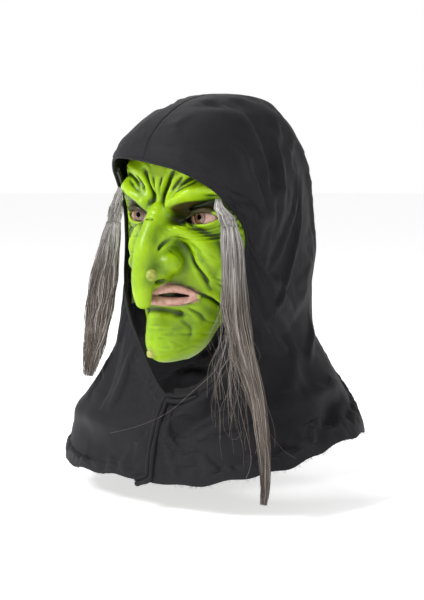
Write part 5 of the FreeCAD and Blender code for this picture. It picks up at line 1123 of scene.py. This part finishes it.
def pipe(pts, radii, sides=8, flat=1.0, up=None, cap=True):
    # A tube along points; returns its vertices and faces.
    p = np.asarray(pts, float)
    n = len(p)
    t = np.gradient(p, axis=0)
    t /= np.maximum(np.linalg.norm(t, axis=1, keepdims=True), 1e-9)
    ref = np.array([0.0, 0.0, 1.0]) if up is None else np.asarray(up, float)
    u = np.cross(t, ref)
    bad = np.linalg.norm(u, axis=1) < 1e-3
    u[bad] = np.cross(t[bad], np.array([1.0, 0, 0]))
    u /= np.linalg.norm(u, axis=1, keepdims=True)
    w = np.cross(u, t)
    rad = np.broadcast_to(np.asarray(radii, float), (n,))
    a = np.arange(sides) * 2 * np.pi / sides
    v = p[:, None] + u[:, None] * (rad[:, None] * np.cos(a))[..., None] + w[:, None] * (flat * rad[:, None] * np.sin(a))[..., None]
    k = np.arange(n - 1)[:, None] * sides + np.arange(sides)[None, :]
    k2 = np.arange(n - 1)[:, None] * sides + (np.arange(sides)[None, :] + 1) % sides
    f = np.stack([k, k2, k2 + sides, k + sides], -1).reshape(-1, 4)
    faces = [tuple(x) for x in f]
    if cap:
        faces.append(tuple(range(sides))[::-1])
        faces.append(tuple(range((n - 1) * sides, n * sides)))
    return v.reshape(-1, 3), faces


def gather(parts):
    vs, fs, off = [], [], 0
    for v, f in parts:
        vs.append(v)
        fs += [tuple(k + off for k in x) for x in f]
        off += len(v)
    return np.vstack(vs), fs


# the brim's turned hem: a doubled band inside the edge and a soft roll along it
pl, kl, bl = edge_line("left", 150)
pr, kr, br = edge_line("right", 150)
brim_p = np.vstack([pl[::-1], pr[1:]])
brim_n = np.vstack([kl[::-1], kr[1:]])
brim_b = np.vstack([bl[::-1], br[1:]])
# direction behind the edge, along the surface and square to it
tan = np.gradient(brim_p, axis=0)
tan /= np.linalg.norm(tan, axis=1, keepdims=True)
brim_n /= np.linalg.norm(brim_n, axis=1, keepdims=True)
sq = np.cross(brim_n, tan)
sq *= np.sign((sq * brim_b).sum(1, keepdims=True))
wob = 0.25 * np.sin(np.arange(len(brim_p)) * 0.7) + 0.2 * np.sin(np.arange(len(brim_p)) * 0.23)
section = [(0.6, 0.9), (-0.9, 0.75), (-1.5, -0.1), (-1.2, -1.2), (0.0, -1.9), (4.0, -2.1), (8.0, -2.15), (10.6, -2.1), (10.9, -1.6), (8.0, -1.2), (3.0, -0.9), (1.4, 0.2)]
prof = []
for bk, out_ in section:
    prof.append(brim_p + sq * (bk * (1 + 0.12 * wob))[:, None] + brim_n * (out_ * 1.0 + 0.05 + 0.18 * wob * (bk < 2))[:, None])
prof = np.stack(prof, 1)
s_n = len(section)
v = prof.reshape(-1, 3)
n_b = len(brim_p)
k = np.arange(n_b - 1)[:, None] * s_n + np.arange(s_n)[None, :]
k2 = np.arange(n_b - 1)[:, None] * s_n + (np.arange(s_n)[None, :] + 1) % s_n
f = [tuple(x) for x in np.stack([k, k + s_n, k2 + s_n, k2], -1).reshape(-1, 4)]
f += [tuple(range(s_n)), tuple(range((n_b - 1) * s_n, n_b * s_n))[::-1]]
HEM = cloth_material("black_knit_hem")
brim = mesh_object("brim_hem_roll", v, f, HEM)
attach(brim, "mask")
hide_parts("brim_hem")

# stitches of the brim hem and of the crown seam
THREAD = Nodes("black_thread")
tw = THREAD.wave(2400.0, THREAD.mapping(THREAD.coord(), (1, 1, 1), (0.5, 0.4, 0.3)), 0.2)
THREAD.set(color=THREAD.ramp(tw, [(0.2, srgb(20, 20, 22)), (0.8, srgb(52, 51, 54))]), rough=THREAD.math('ADD', 0.55, THREAD.math('MULTIPLY', tw, 0.2)), normal=THREAD.bump(tw, 0.5, 0.0002), spec=0.35)
THREAD = THREAD.mat


def stitch_run(path, nrm_, gap=3.2, ln=2.3, r_=0.26, lift=0.12):
    run = np.concatenate([[0], np.cumsum(np.linalg.norm(np.diff(path, axis=0), axis=1))])
    parts = []
    s = gap
    while s < run[-1] - gap:
        t = np.linspace(s, s + ln, 5)
        c = np.stack([np.interp(t, run, path[:, k]) for k in range(3)], 1)
        m_ = np.stack([np.interp(t, run, nrm_[:, k]) for k in range(3)], 1)
        hgt = lift - 0.55 * (np.abs(np.linspace(-1, 1, 5)) ** 3)
        parts.append(pipe(c + m_ * hgt[:, None], [r_ * 0.8, r_, r_, r_, r_ * 0.8], 5, up=(0.3, 0.5, 0.8)))
        s += gap
    return parts


top = brim_p + sq * 8.6 + brim_n * 0.8
# follow the cloth's own outer face for the stitch line
def on_cloth(path, extra=0.75):
    allq = np.vstack([PANELS["left"][0], PANELS["right"][0]])
    alln = np.vstack([PANELS["left"][1], PANELS["right"][1]])
    out = np.empty_like(path)
    nn = np.empty_like(path)
    for a_ in range(0, len(path), 64):
        dd = ((path[a_:a_ + 64, None] - allq[None]) ** 2).sum(-1)
        ix = np.argpartition(dd, 6, axis=1)[:, :6]
        w_ = 1 / (np.take_along_axis(dd, ix, 1) + 0.3)
        w_ /= w_.sum(1, keepdims=True)
        m_ = (alln[ix] * w_[..., None]).sum(1)
        m_ /= np.linalg.norm(m_, axis=1, keepdims=True)
        base_ = (allq[ix] * w_[..., None]).sum(1)
        off = ((base_ - path[a_:a_ + 64]) * m_).sum(1)
        out[a_:a_ + 64] = path[a_:a_ + 64] + m_ * (off + extra)[:, None]
        nn[a_:a_ + 64] = m_
    return out, nn


cp, cn = on_cloth(top)
v, f = gather(stitch_run(cp, cn))
st = mesh_object("brim_stitches", v, f, THREAD)
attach(st, "mask")

g = PANELS["left"][0].reshape(PANELS["left"][2], PANELS["left"][3], 3)
gr = PANELS["right"][0].reshape(PANELS["right"][2], PANELS["right"][3], 3)
parts = []
for gg, s in ((g, 1), (gr, -1)):
    line = gg[0].copy()
    line[:, 0] = s * 2.6
    lp, ln_ = on_cloth(catmull(line[1:-1], 240))
    parts += stitch_run(lp, ln_, 3.4, 2.4)
v, f = gather(parts)
st2 = mesh_object("crown_seam_stitches", v, f, THREAD)
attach(st2, "mask")

# rolled front edges, side by side in a slack S from the near side of the throat to the hem
edge_l = g[:, 0]
front_l = g[-1]
start = edge_l[[-10, -8, -6, -4, -2]] if len(edge_l) > 60 else edge_l[[-5, -4, -3, -2]]
path = np.vstack([start, front_l[::3]])
path = catmull(path, 120)
run = np.concatenate([[0], np.cumsum(np.linalg.norm(np.diff(path, axis=0), axis=1))])
path = np.stack([np.interp(np.linspace(0, run[-1], 90), run, path[:, k]) for k in range(3)], 1)
for _ in range(6):
    path[1:-1] = (path[:-2] + 2 * path[1:-1] + path[2:]) / 4
tip = path[-1] - path[-2]
path = np.vstack([path, path[-1] + tip * np.array([[1.0], [2.0], [3.0]])])
gn = hood_grad(path)
gn /= np.linalg.norm(gn, axis=1, keepdims=True)
tn = np.gradient(path, axis=0)
tn /= np.linalg.norm(tn, axis=1, keepdims=True)
sd = np.cross(gn, tn)
if sd[60, 0] < 0:
    sd = -sd
rolls = []
for nm, s in (("left", 1), ("right", -1)):
    rad = 2.35 + 0.22 * np.sin(np.arange(len(path)) * 0.31 + s) + 0.12 * np.sin(np.arange(len(path)) * 0.93)
    rad[:6] *= np.linspace(0.55, 1, 6)
    rad[-4:] *= np.array([1.05, 1.18, 1.25, 1.0])
    c = path + sd * (s * 2.25) + gn * (1.6 if s > 0 else 1.1)
    v, f = pipe(c, rad, 14, up=(0.2, 0.9, 0.1))
    ob = mesh_object("rolled_hem_" + nm, v, f, HEM)
    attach(ob, "mask")
    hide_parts("front_%s_hem" % nm)
    rolls.append(ob)

# frayed threads along the raw hem
parts = []
for nm in ("left", "right"):
    q, nrm_, ni, nj, i_, j_ = PANELS[nm]
    gg = q.reshape(ni, nj, 3)
    hem_p, pre = catmull(gg[:, -1], 600), catmull(gg[:, -2], 600)
    nn_ = catmull(nrm_.reshape(ni, nj, 3)[:, -1], 600)
    dn = hem_p - pre
    dn /= np.linalg.norm(dn, axis=1, keepdims=True)
    tg = np.gradient(hem_p, axis=0)
    tg /= np.linalg.norm(tg, axis=1, keepdims=True)
    for _ in range(170):
        k = int(rng.integers(4, 596))
        ln = rng.uniform(1.2, 4.2)
        a0 = hem_p[k] - dn[k] * 0.8
        d1 = dn[k] + tg[k] * rng.normal(0, 0.7) + nn_[k] * rng.normal(0, 0.25)
        d2 = d1 + tg[k] * rng.normal(0, 0.8) + nn_[k] * rng.normal(0, 0.4)
        parts.append(pipe([a0, a0 + d1 * ln * 0.5, a0 + d1 * ln * 0.5 + d2 * ln * 0.5], [0.16, 0.14, 0.07], 4, up=(0.3, 0.8, 0.1)))
v, f = gather(parts)
fray = mesh_object("hem_fray", v, f, THREAD)
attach(fray, "mask")

# ------------------------------------------------------------------ eye domes
def eye_material():
    n = Nodes("painted_eye")
    rad, streak, edge = n.attr("rad"), n.attr("streak"), n.attr("edge")
    iris = n.ramp(streak, [(0.0, srgb(38, 16, 8)), (0.45, srgb(92, 48, 24)), (0.8, srgb(150, 92, 48)), (1.0, srgb(196, 138, 84))])
    ring = n.ramp(rad, [(0.0, 0.9), (0.24, 0.8), (0.33, 0.0), (0.54, 0.0), (0.63, 0.95), (1.0, 1.0)])
    iris = n.mix(ring, iris, srgb(18, 7, 4))
    veins = n.ramp(n.noise(420.0, 5.0, 0.75), [(0.52, 0.0), (0.60, 1.0)])
    white = n.ramp(n.noise(70.0, 3.0, 0.6), [(0.3, srgb(168, 120, 110)), (0.7, srgb(204, 166, 152))])
    white = n.mix(n.math('MULTIPLY', veins, 0.35), white, srgb(150, 52, 46))
    # painted shadow: a dark red-brown band on the eye white under the upper lid, darkening towards both corners
    white = n.mix(edge, white, srgb(74, 26, 22))
    col = n.mix(n.ramp(rad, [(0.645, 0.0), (0.70, 1.0)]), iris, white)
    nb = n.bump(n.noise(300.0, 2.0, 0.5), 0.06, 0.0003)
    n.set(color=col, rough=n.math('ADD', 0.10, n.math('MULTIPLY', n.noise(90.0, 2.0, 0.5), 0.06)), normal=nb, spec=0.6, coat=1.0, coat_rough=0.04)
    return n.mat


EYE = eye_material()
for nm, s in (("left", 1), ("right", -1)):
    th0, th1 = math.asin(2.4 / 20.0), math.radians(74)
    th = np.concatenate([np.linspace(th0, math.radians(24), 26), np.linspace(math.radians(26), th1, 22)])
    prof = [(20.0 * math.sin(t) , 20.0 * math.cos(t)) for t in th] + [(18.7 * math.sin(t), 18.7 * math.cos(t)) for t in th[::-1][::3]]
    prof.append((18.7 * math.sin(th0 * 1.07), 18.7 * math.cos(th0 * 1.07)))
    na = 160
    a = np.arange(na) * 2 * np.pi / na
    pr_ = np.array(prof)
    v = np.stack([s * EX + pr_[:, None, 0] * np.cos(a), EY - pr_[:, None, 1] + 0 * a, EZ + pr_[:, None, 0] * np.sin(a)], -1)
    m = len(prof)
    k = np.arange(m)[:, None] * na + np.arange(na)[None, :]
    k2 = np.arange(m)[:, None] * na + (np.arange(na)[None, :] + 1) % na
    f = np.stack([k, k2, np.roll(k2, -1, 0), np.roll(k, -1, 0)], -1).reshape(-1, 4)
    ob = mesh_object("eye_dome_" + nm, v.reshape(-1, 3), f, EYE)
    rr = np.repeat(pr_[:, 0], na)
    set_attr(ob, "rad", np.clip(rr / 10.0, 0, 1))
    aa = np.tile(a, m)
    st_ = 0.5 + 0.22 * np.sin(aa * 41 + 1.7 * np.sin(aa * 9)) + 0.16 * np.sin(aa * 67 + rr * 0.8) + 0.14 * np.sin(aa * 23 - rr * 0.5)
    st_ = st_ * (0.55 + 0.45 * np.sin(np.clip((rr - 2.4) / 4.6, 0, 1) * np.pi))
    set_attr(ob, "streak", np.clip(st_, 0, 1))
    co_ = v.reshape(-1, 3)
    u_, w_ = (co_[:, 0] - s * EX) * s, co_[:, 2]
    top_ = np.interp(u_, [p[0] for p in lid_up], [p[1] for p in lid_up])
    # the 'edge' mask: where the upper lid's shadow is painted along the lid and into the corners of the eye
    set_attr(ob, "edge", np.clip(np.maximum(smooth(2.6, 0.2, top_ - w_) * 0.95, np.maximum(smooth(-10.5, -16.0, u_) * 0.7, smooth(13.0, 17.0, u_) * 0.6)), 0, 1))
    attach(ob, "mask")
    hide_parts(nm + "_eye_dome")


# ------------------------------------------------------------------ hair
def hair_material(name, tint=1.0):
    n = Nodes(name)
    tone, along = n.attr("tone"), n.attr("along")
    root = n.ramp(tone, [(0.0, srgb(92, 88, 86)), (0.35, srgb(134, 130, 127)), (0.7, srgb(172, 168, 164)), (1.0, srgb(214, 211, 208))])
    mid = n.ramp(tone, [(0.0, srgb(44, 38, 35)), (0.35, srgb(88, 78, 72)), (0.7, srgb(130, 119, 111)), (1.0, srgb(190, 182, 174))])
    tip = n.ramp(tone, [(0.0, srgb(38, 32, 29)), (0.4, srgb(80, 69, 62)), (0.75, srgb(118, 104, 95)), (1.0, srgb(178, 168, 158))])
    col = n.mix(n.ramp(along, [(0.10, 0.0), (0.36, 1.0)]), root, mid)
    col = n.mix(n.ramp(along, [(0.50, 0.0), (0.85, 1.0)]), col, tip)
    fine = n.noise(340.0, 3.0, 0.6, vec=n.mapping(n.coord(), (1, 1, 0.06)))
    col = n.mix(n.math('MULTIPLY', fine, 0.30), col, srgb(60, 52, 47))
    n.set(color=col, rough=n.math('ADD', 0.34, n.math('MULTIPLY', fine, 0.16)), spec=0.55, normal=n.bump(fine, 0.2, 0.0002), sheen=0.15)
    return n.mat


HAIR = hair_material("grey_hair")


def strands(centre, rx, ry, count, t0, t1, seed, thick=(0.26, 0.46), seg=26, ends=True, spread=1.0):
    r_ = np.random.default_rng(seed)
    c = catmull(np.array(centre, float), 220)
    rxs, rys = catmull(np.array(rx, float)[:, None], 220)[:, 0], catmull(np.array(ry, float)[:, None], 220)[:, 0]
    run = np.concatenate([[0], np.cumsum(np.linalg.norm(np.diff(c, axis=0), axis=1))])
    run /= run[-1]
    parts, tones, alongs = [], [], []
    clumps = [(r_.uniform(-1, 1), r_.uniform(-1, 1), r_.uniform(0, 1), r_.uniform(0, 6.28), r_.uniform(0.6, 2.2)) for _ in range(max(6, count // 11))]
    for s_i in range(count):
        cl = clumps[int(r_.integers(len(clumps)))]
        rad_ = math.sqrt(r_.uniform(0, 1))
        th_ = r_.uniform(0, 2 * np.pi)
        a0, b0 = rad_ * math.cos(th_), rad_ * math.sin(th_)
        e = t1 if not ends else t1 - (t1 - t0) * (0.32 * r_.random() ** 2.2)
        t = np.linspace(t0, e, seg)
        p = np.stack([np.interp(t, run, c[:, k]) for k in range(3)], 1)
        wx, wy = np.interp(t, run, rxs), np.interp(t, run, rys)
        u = (t - t0) / max(1e-6, (t1 - t0))
        pull = 0.24 * u ** 0.8
        aa = a0 * (1 - pull) + (cl[0] * 0.92) * pull + 0.10 * np.sin(cl[3] + t * 7 * cl[4]) + 0.05 * np.sin(th_ * 3 + t * 23)
        bb = b0 * (1 - pull) + (cl[1] * 0.8) * pull + 0.12 * np.cos(cl[3] * 1.3 + t * 6 * cl[4])
        ln = np.sqrt(aa ** 2 + bb ** 2)
        k_ = np.minimum(1, 1.0 / np.maximum(ln, 1e-6))
        aa, bb = aa * k_, bb * k_
        off = np.zeros_like(p)
        off[:, 0] = aa * (wx - 0.4) * spread
        off[:, 1] = bb * (wy - 0.3) * spread
        p = p + off
        p[:, 0] += 0.35 * np.sin(t * 40 + th_ * 5) * u
        rr_ = r_.uniform(*thick) * np.minimum(1, 1.15 - 0.75 * smooth(0.75, 1.0, (t - t0) / max(1e-6, e - t0)))
        v_, f_ = pipe(p, rr_, 4, up=(0.1, 0.95, 0.2), cap=True)
        parts.append((v_, f_))
        tone = np.clip(0.5 * cl[2] + 0.5 * r_.random() ** 1.1 + 0.12 * r_.normal(), 0, 1)
        if r_.random() < 0.07:
            tone = r_.uniform(0.85, 1.0)
        tones.append(np.full(len(v_), tone))
        alongs.append(np.repeat(t, 4))
    return parts, tones, alongs


def hair_piece(name, packs, body, replace, along_map=lambda t: t):
    parts, tones, alongs = [], [], []
    for a_, b_, c_ in packs:
        parts += a_
        tones += b_
        alongs += c_
    v_, f_ = gather(parts)
    ob = mesh_object(name, v_, f_, HAIR)
    set_attr(ob, "tone", np.concatenate(tones))
    set_attr(ob, "along", along_map(np.concatenate(alongs)))
    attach(ob, body)
    if replace:
        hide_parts(replace)
    return ob


def loose(paths, seed, thick=0.13):
    r_ = np.random.default_rng(seed)
    parts, tones, alongs = [], [], []
    for pts in paths:
        p = catmull(np.array(pts, float), 36)
        v_, f_ = pipe(p, np.linspace(thick, thick * 0.6, len(p)), 4, up=(0.15, 0.9, 0.25))
        parts.append((v_, f_))
        tones.append(np.full(len(v_), r_.uniform(0.55, 1.0)))
        alongs.append(np.repeat(np.linspace(0.4, 1, len(p)), 4))
    return parts, tones, alongs


ROOT_L = [(57.4, -77.6, 17.0), (58.0, -78.0, 14.5), (61, -79.6, 8.5), (68, -80, 1), (72, -81, -6), (73.0, -81.3, -9.2)]
RX_RL, RY_RL = [3.0, 3.8, 7, 9.5, 10, 9.6], [1.5, 1.7, 2.8, 3.4, 3, 2.8]
LOCK_L = [(72.4, -81.1, -7.0), (73.2, -81.4, -9.8), (76.5, -83, -20), (79.5, -84.5, -38), (81.5, -86, -60), (85.5, -87.5, -88), (97.5, -90, -124), (112, -93, -158), (121, -96.5, -196), (124.5, -99.5, -226), (124, -101, -244)]
RX_L, RY_L = [9.4, 9.5, 12, 13, 14.5, 15, 12.5, 9.5, 7, 5.5, 4.4], [2.8, 2.8, 4.8, 5.4, 5.8, 5.8, 5.4, 5, 4.2, 3.4, 2.8]
ROOT_R = [(-62.6, -70.2, 24.5), (-63, -70.6, 22), (-64.8, -71.6, 13.5), (-66, -74, 3.0), (-66.2, -76, -6.5), (-66.3, -76.6, -9.6)]
RX_RR, RY_RR = [3.2, 3.8, 7, 9, 9.5, 9.2], [1.5, 1.7, 2.8, 3.4, 3, 2.8]
LOCK_R = [(-66.2, -76.5, -7.8), (-66.4, -76.9, -10.4), (-67.4, -78.2, -20), (-70.8, -79.6, -40), (-74.8, -81, -63), (-78, -83, -90), (-81.2, -84.6, -116), (-85.8, -86, -137), (-89, -87, -154)]
RX_R, RY_R = [8.9, 9, 11.5, 14.5, 17.5, 18, 16, 12, 8], [2.8, 2.8, 4.8, 5.6, 6, 6, 5.4, 4.4, 3.4]

NL, NR_ = ((620, 560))
hair_piece("hair_root_left", [strands(ROOT_L, RX_RL, RY_RL, NL // 2, 0.0, 1.0, 21, seg=10, ends=False)], "left_root", "left_hair_root", lambda t: 0.10 * t)
hair_piece("hair_root_right", [strands(ROOT_R, RX_RR, RY_RR, NR_ // 2, 0.0, 1.0, 22, seg=10, ends=False)], "right_root", "right_hair_root", lambda t: 0.10 * t)

r3 = np.random.default_rng(77)
stray_l = []
for _ in range(46):
    a0 = r3.uniform(-1, 0.4)
    z0 = r3.uniform(-110, -40)
    i0 = np.interp(-z0, [10, 38, 60, 88, 124], [73, 79, 81.5, 85.5, 97.5])
    x0 = i0 + a0 * 12
    z1 = z0 - r3.uniform(50, 118)
    dx = r3.normal(10, 12)
    y0 = -88 - r3.uniform(0, 5)
    x1 = np.clip(x0 + dx, 56, 134)
    stray_l.append([(x0, y0, z0), (x0 + dx * 0.1 + r3.normal(0, 2), y0 - 2, z0 * 0.7 + z1 * 0.3), (x0 + dx * 0.5 + r3.normal(0, 4), y0 - 5 - r3.uniform(0, 5), (z0 + z1) / 2), (x1 + r3.normal(0, 3), y0 - 8 - r3.uniform(0, 6), z1 * 0.8 + z0 * 0.2), (x1, y0 - 8, max(z1, -243))])
# the long loose hairs that fall across the front of the hood
stray_l.append([(80, -90, -92), (76, -92, -110), (70, -98, -132), (52, -108, -152), (30, -116, -172), (2, -122, -186), (-30, -124, -196)])
stray_l.append([(84, -90, -100), (88, -94, -128), (82, -100, -158), (84, -104, -182), (96, -104, -190), (104, -102, -178)])
stray_l.append([(92, -90, -118), (104, -92, -150), (118, -92, -176), (132, -86, -196), (141, -76, -206)])
stray_l.append([(86, -90, -104), (84, -93, -130), (98, -98, -168), (110, -100, -206), (100, -102, -236)])
for _ in range(9):
    x0 = r3.uniform(66, 78)
    stray_l.append([(x0 + 3, -88, -70 - r3.uniform(0, 25)), (x0, -90, -108), (x0 - 3 + r3.normal(0, 3), -95, -132), (x0 + r3.normal(0, 6), -98, -158)])
hair_piece("hair_lock_left", [strands(LOCK_L, RX_L, RY_L, NL, 0.0, 1.0, 31, seg=34), loose(stray_l, 5)], "left_lock", "left_hair_lock", lambda t: 0.08 + 0.92 * t)

stray_r = []
for _ in range(30):
    x0 = r3.uniform(-88, -64)
    z0 = r3.uniform(-110, -50)
    y0 = -84 - r3.uniform(0, 4)
    dx = r3.normal(-3, 6)
    stray_r.append([(x0, y0, z0), (x0 + dx * 0.3, y0 - 2, z0 - 22), (x0 + dx, y0 - 2 - r3.uniform(0, 3), max(z0 - 52, -156))])
stray_r.append([(-84, -88, -120), (-94, -92, -140), (-102, -94, -160), (-104, -96, -176)])
hair_piece("hair_lock_right", [strands(LOCK_R, RX_R, RY_R, NR_, 0.0, 1.0, 32, seg=28), loose(stray_r, 6)], "right_lock", "right_hair_lock", lambda t: 0.08 + 0.80 * t)

# fine hairs that stand out from the weft at the temple, behind the brim
tuft = []
for _ in range(26):
    y0 = r3.uniform(-74, -62)
    z0 = np.interp(y0, [-74, -62], [12, 0])
    x0 = float(hood_x(np.array(y0), np.array(z0))) - 4.5
    tuft.append([(x0, y0, z0), (x0 + 1.0, y0 - 2.0, z0 - 5), (x0 + r3.normal(1.0, 0.8), y0 - 4 + r3.normal(0, 1), z0 - 12 - r3.uniform(0, 8))])
hair_piece("hair_wisps_left", [loose(tuft, 9, 0.16)], "left_root", None, lambda t: t * 0.2)


# ------------------------------------------------------------------ the pieces that keep their CAD shape
def elastic_material():
    n = Nodes("elastic_webbing")
    co = n.coord()
    ribs = n.wave(330.0, co, 0.15, 'Z')
    cross = n.wave(900.0, n.mapping(co, (1, 1, 0.2), (0, 0, 0.6)), 0.5, 'X')
    base = n.ramp(ribs, [(0.2, srgb(18, 18, 20)), (0.8, srgb(58, 57, 60))])
    base = n.mix(n.math('MULTIPLY', cross, 0.3), base, srgb(86, 85, 88))
    nb = n.bump(ribs, 0.6, 0.0006)
    nb = n.bump(cross, 0.3, 0.0003, nb)
    n.set(color=base, rough=n.math('ADD', 0.6, n.math('MULTIPLY', cross, 0.2)), normal=nb, spec=0.3, sheen=0.2)
    return n.mat


def latex_pad_material():
    n = Nodes("latex_pad_cream")
    base = n.ramp(n.noise(60.0, 4.0, 0.6), [(0.3, srgb(168, 178, 96)), (0.7, srgb(198, 202, 132))])
    fine = n.noise(500.0, 3.0, 0.6)
    n.set(color=base, rough=n.math('ADD', 0.42, n.math('MULTIPLY', fine, 0.2)), normal=n.bump(fine, 0.3, 0.0004), spec=0.4)
    return n.mat


def plastic_material():
    n = Nodes("moulded_plastic")
    sp = n.noise(800.0, 2.0, 0.5)
    base = n.mix(n.math('MULTIPLY', n.noise(40.0, 3.0, 0.6), 0.4), srgb(24, 24, 26), srgb(48, 48, 50))
    n.set(color=base, rough=n.math('ADD', 0.36, n.math('MULTIPLY', sp, 0.16)), normal=n.bump(sp, 0.25, 0.0002), spec=0.45)
    return n.mat


def rivet_material():
    n = Nodes("plated_steel")
    sp = n.noise(600.0, 3.0, 0.6)
    n.set(color=n.mix(n.math('MULTIPLY', sp, 0.5), srgb(150, 148, 142), srgb(196, 194, 188)), metal=1.0, rough=n.math('ADD', 0.24, n.math('MULTIPLY', sp, 0.22)), normal=n.bump(sp, 0.15, 0.0002))
    return n.mat


def tape_material():
    n = Nodes("cotton_tape")
    co = n.coord()
    wv = n.math('MULTIPLY', n.wave(700.0, co, 0.3, 'Y'), n.wave(700.0, co, 0.3, 'X'))
    base = n.ramp(n.noise(50.0, 3.0, 0.6), [(0.3, srgb(26, 26, 28)), (0.7, srgb(44, 43, 46))])
    base = n.mix(n.math('MULTIPLY', wv, 0.4), base, srgb(78, 76, 80))
    n.set(color=base, rough=n.math('ADD', 0.7, n.math('MULTIPLY', wv, 0.2)), normal=n.bump(wv, 0.4, 0.0003), spec=0.25, sheen=0.2)
    return n.mat


def weft_material():
    n = Nodes("hair_weft_band")
    co = n.coord()
    lines = n.wave(900.0, n.mapping(co, (1, 1, 0.2)), 0.4, 'Y')
    base = n.ramp(n.noise(220.0, 4.0, 0.7, vec=n.mapping(co, (1, 1, 0.2))), [(0.3, srgb(70, 64, 60)), (0.6, srgb(128, 122, 117)), (0.8, srgb(178, 173, 168))])
    base = n.mix(n.math('MULTIPLY', lines, 0.3), base, srgb(50, 45, 42))
    n.set(color=base, rough=n.math('ADD', 0.5, n.math('MULTIPLY', lines, 0.2)), normal=n.bump(lines, 0.5, 0.0003), spec=0.4)
    return n.mat


ELASTIC, PAD, PLASTIC, RIVET, TAPE, WEFT = elastic_material(), latex_pad_material(), plastic_material(), rivet_material(), tape_material(), weft_material()
GLUE = latex_pad_material()
GLUE.name = "dried_glue"
KEEP = {"crown_seam_tape": TAPE, "left_hair_weft": WEFT, "right_hair_weft": WEFT, "left_weft_stitches": THREAD, "right_weft_stitches": THREAD,
        "left_strap_pad": PAD, "right_strap_pad": PAD, "left_face_bond": GLUE, "right_face_bond": GLUE, "elastic_strap": ELASTIC,
        "strap_slider": PLASTIC, "left_strap_rivets": RIVET, "right_strap_rivets": RIVET}
for node, mat in KEEP.items():
    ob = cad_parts[node]
    ob.data.materials.clear()
    ob.data.materials.append(mat)

# ------------------------------------------------------------------ floor
fl = 64
ring_r = [0.0, 0.4, 1.0, 2.5, 7.0]
fv = [(0.0, 0.0, -262.0)]
for r_ in ring_r[1:]:
    for k in range(fl):
        a_ = 2 * math.pi * k / fl
        fv.append((1000 * r_ * math.cos(a_), 1000 * r_ * math.sin(a_), -262.0))
ff = [(0, 1 + k, 1 + (k + 1) % fl) for k in range(fl)]
for j in range(len(ring_r) - 2):
    b0, b1 = 1 + j * fl, 1 + (j + 1) * fl
    ff += [(b0 + k, b1 + k, b1 + (k + 1) % fl, b0 + (k + 1) % fl) for k in range(fl)]
FL = Nodes("pale_floor")
paper = FL.noise(6.0, 3.0, 0.5)
FL.set(color=FL.mix(FL.math('MULTIPLY', paper, 0.3), (0.92, 0.92, 0.92), (0.88, 0.88, 0.88)), rough=0.9, spec=0.1)
FL.bsdf.inputs["Emission Color"].default_value = (1, 1, 1, 1)
FL.bsdf.inputs["Emission Strength"].default_value = 0.60
floor = mesh_object("floor", fv, ff, FL.mat)
floor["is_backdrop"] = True

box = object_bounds()
print("cad box", cad_box, "visual box", box)
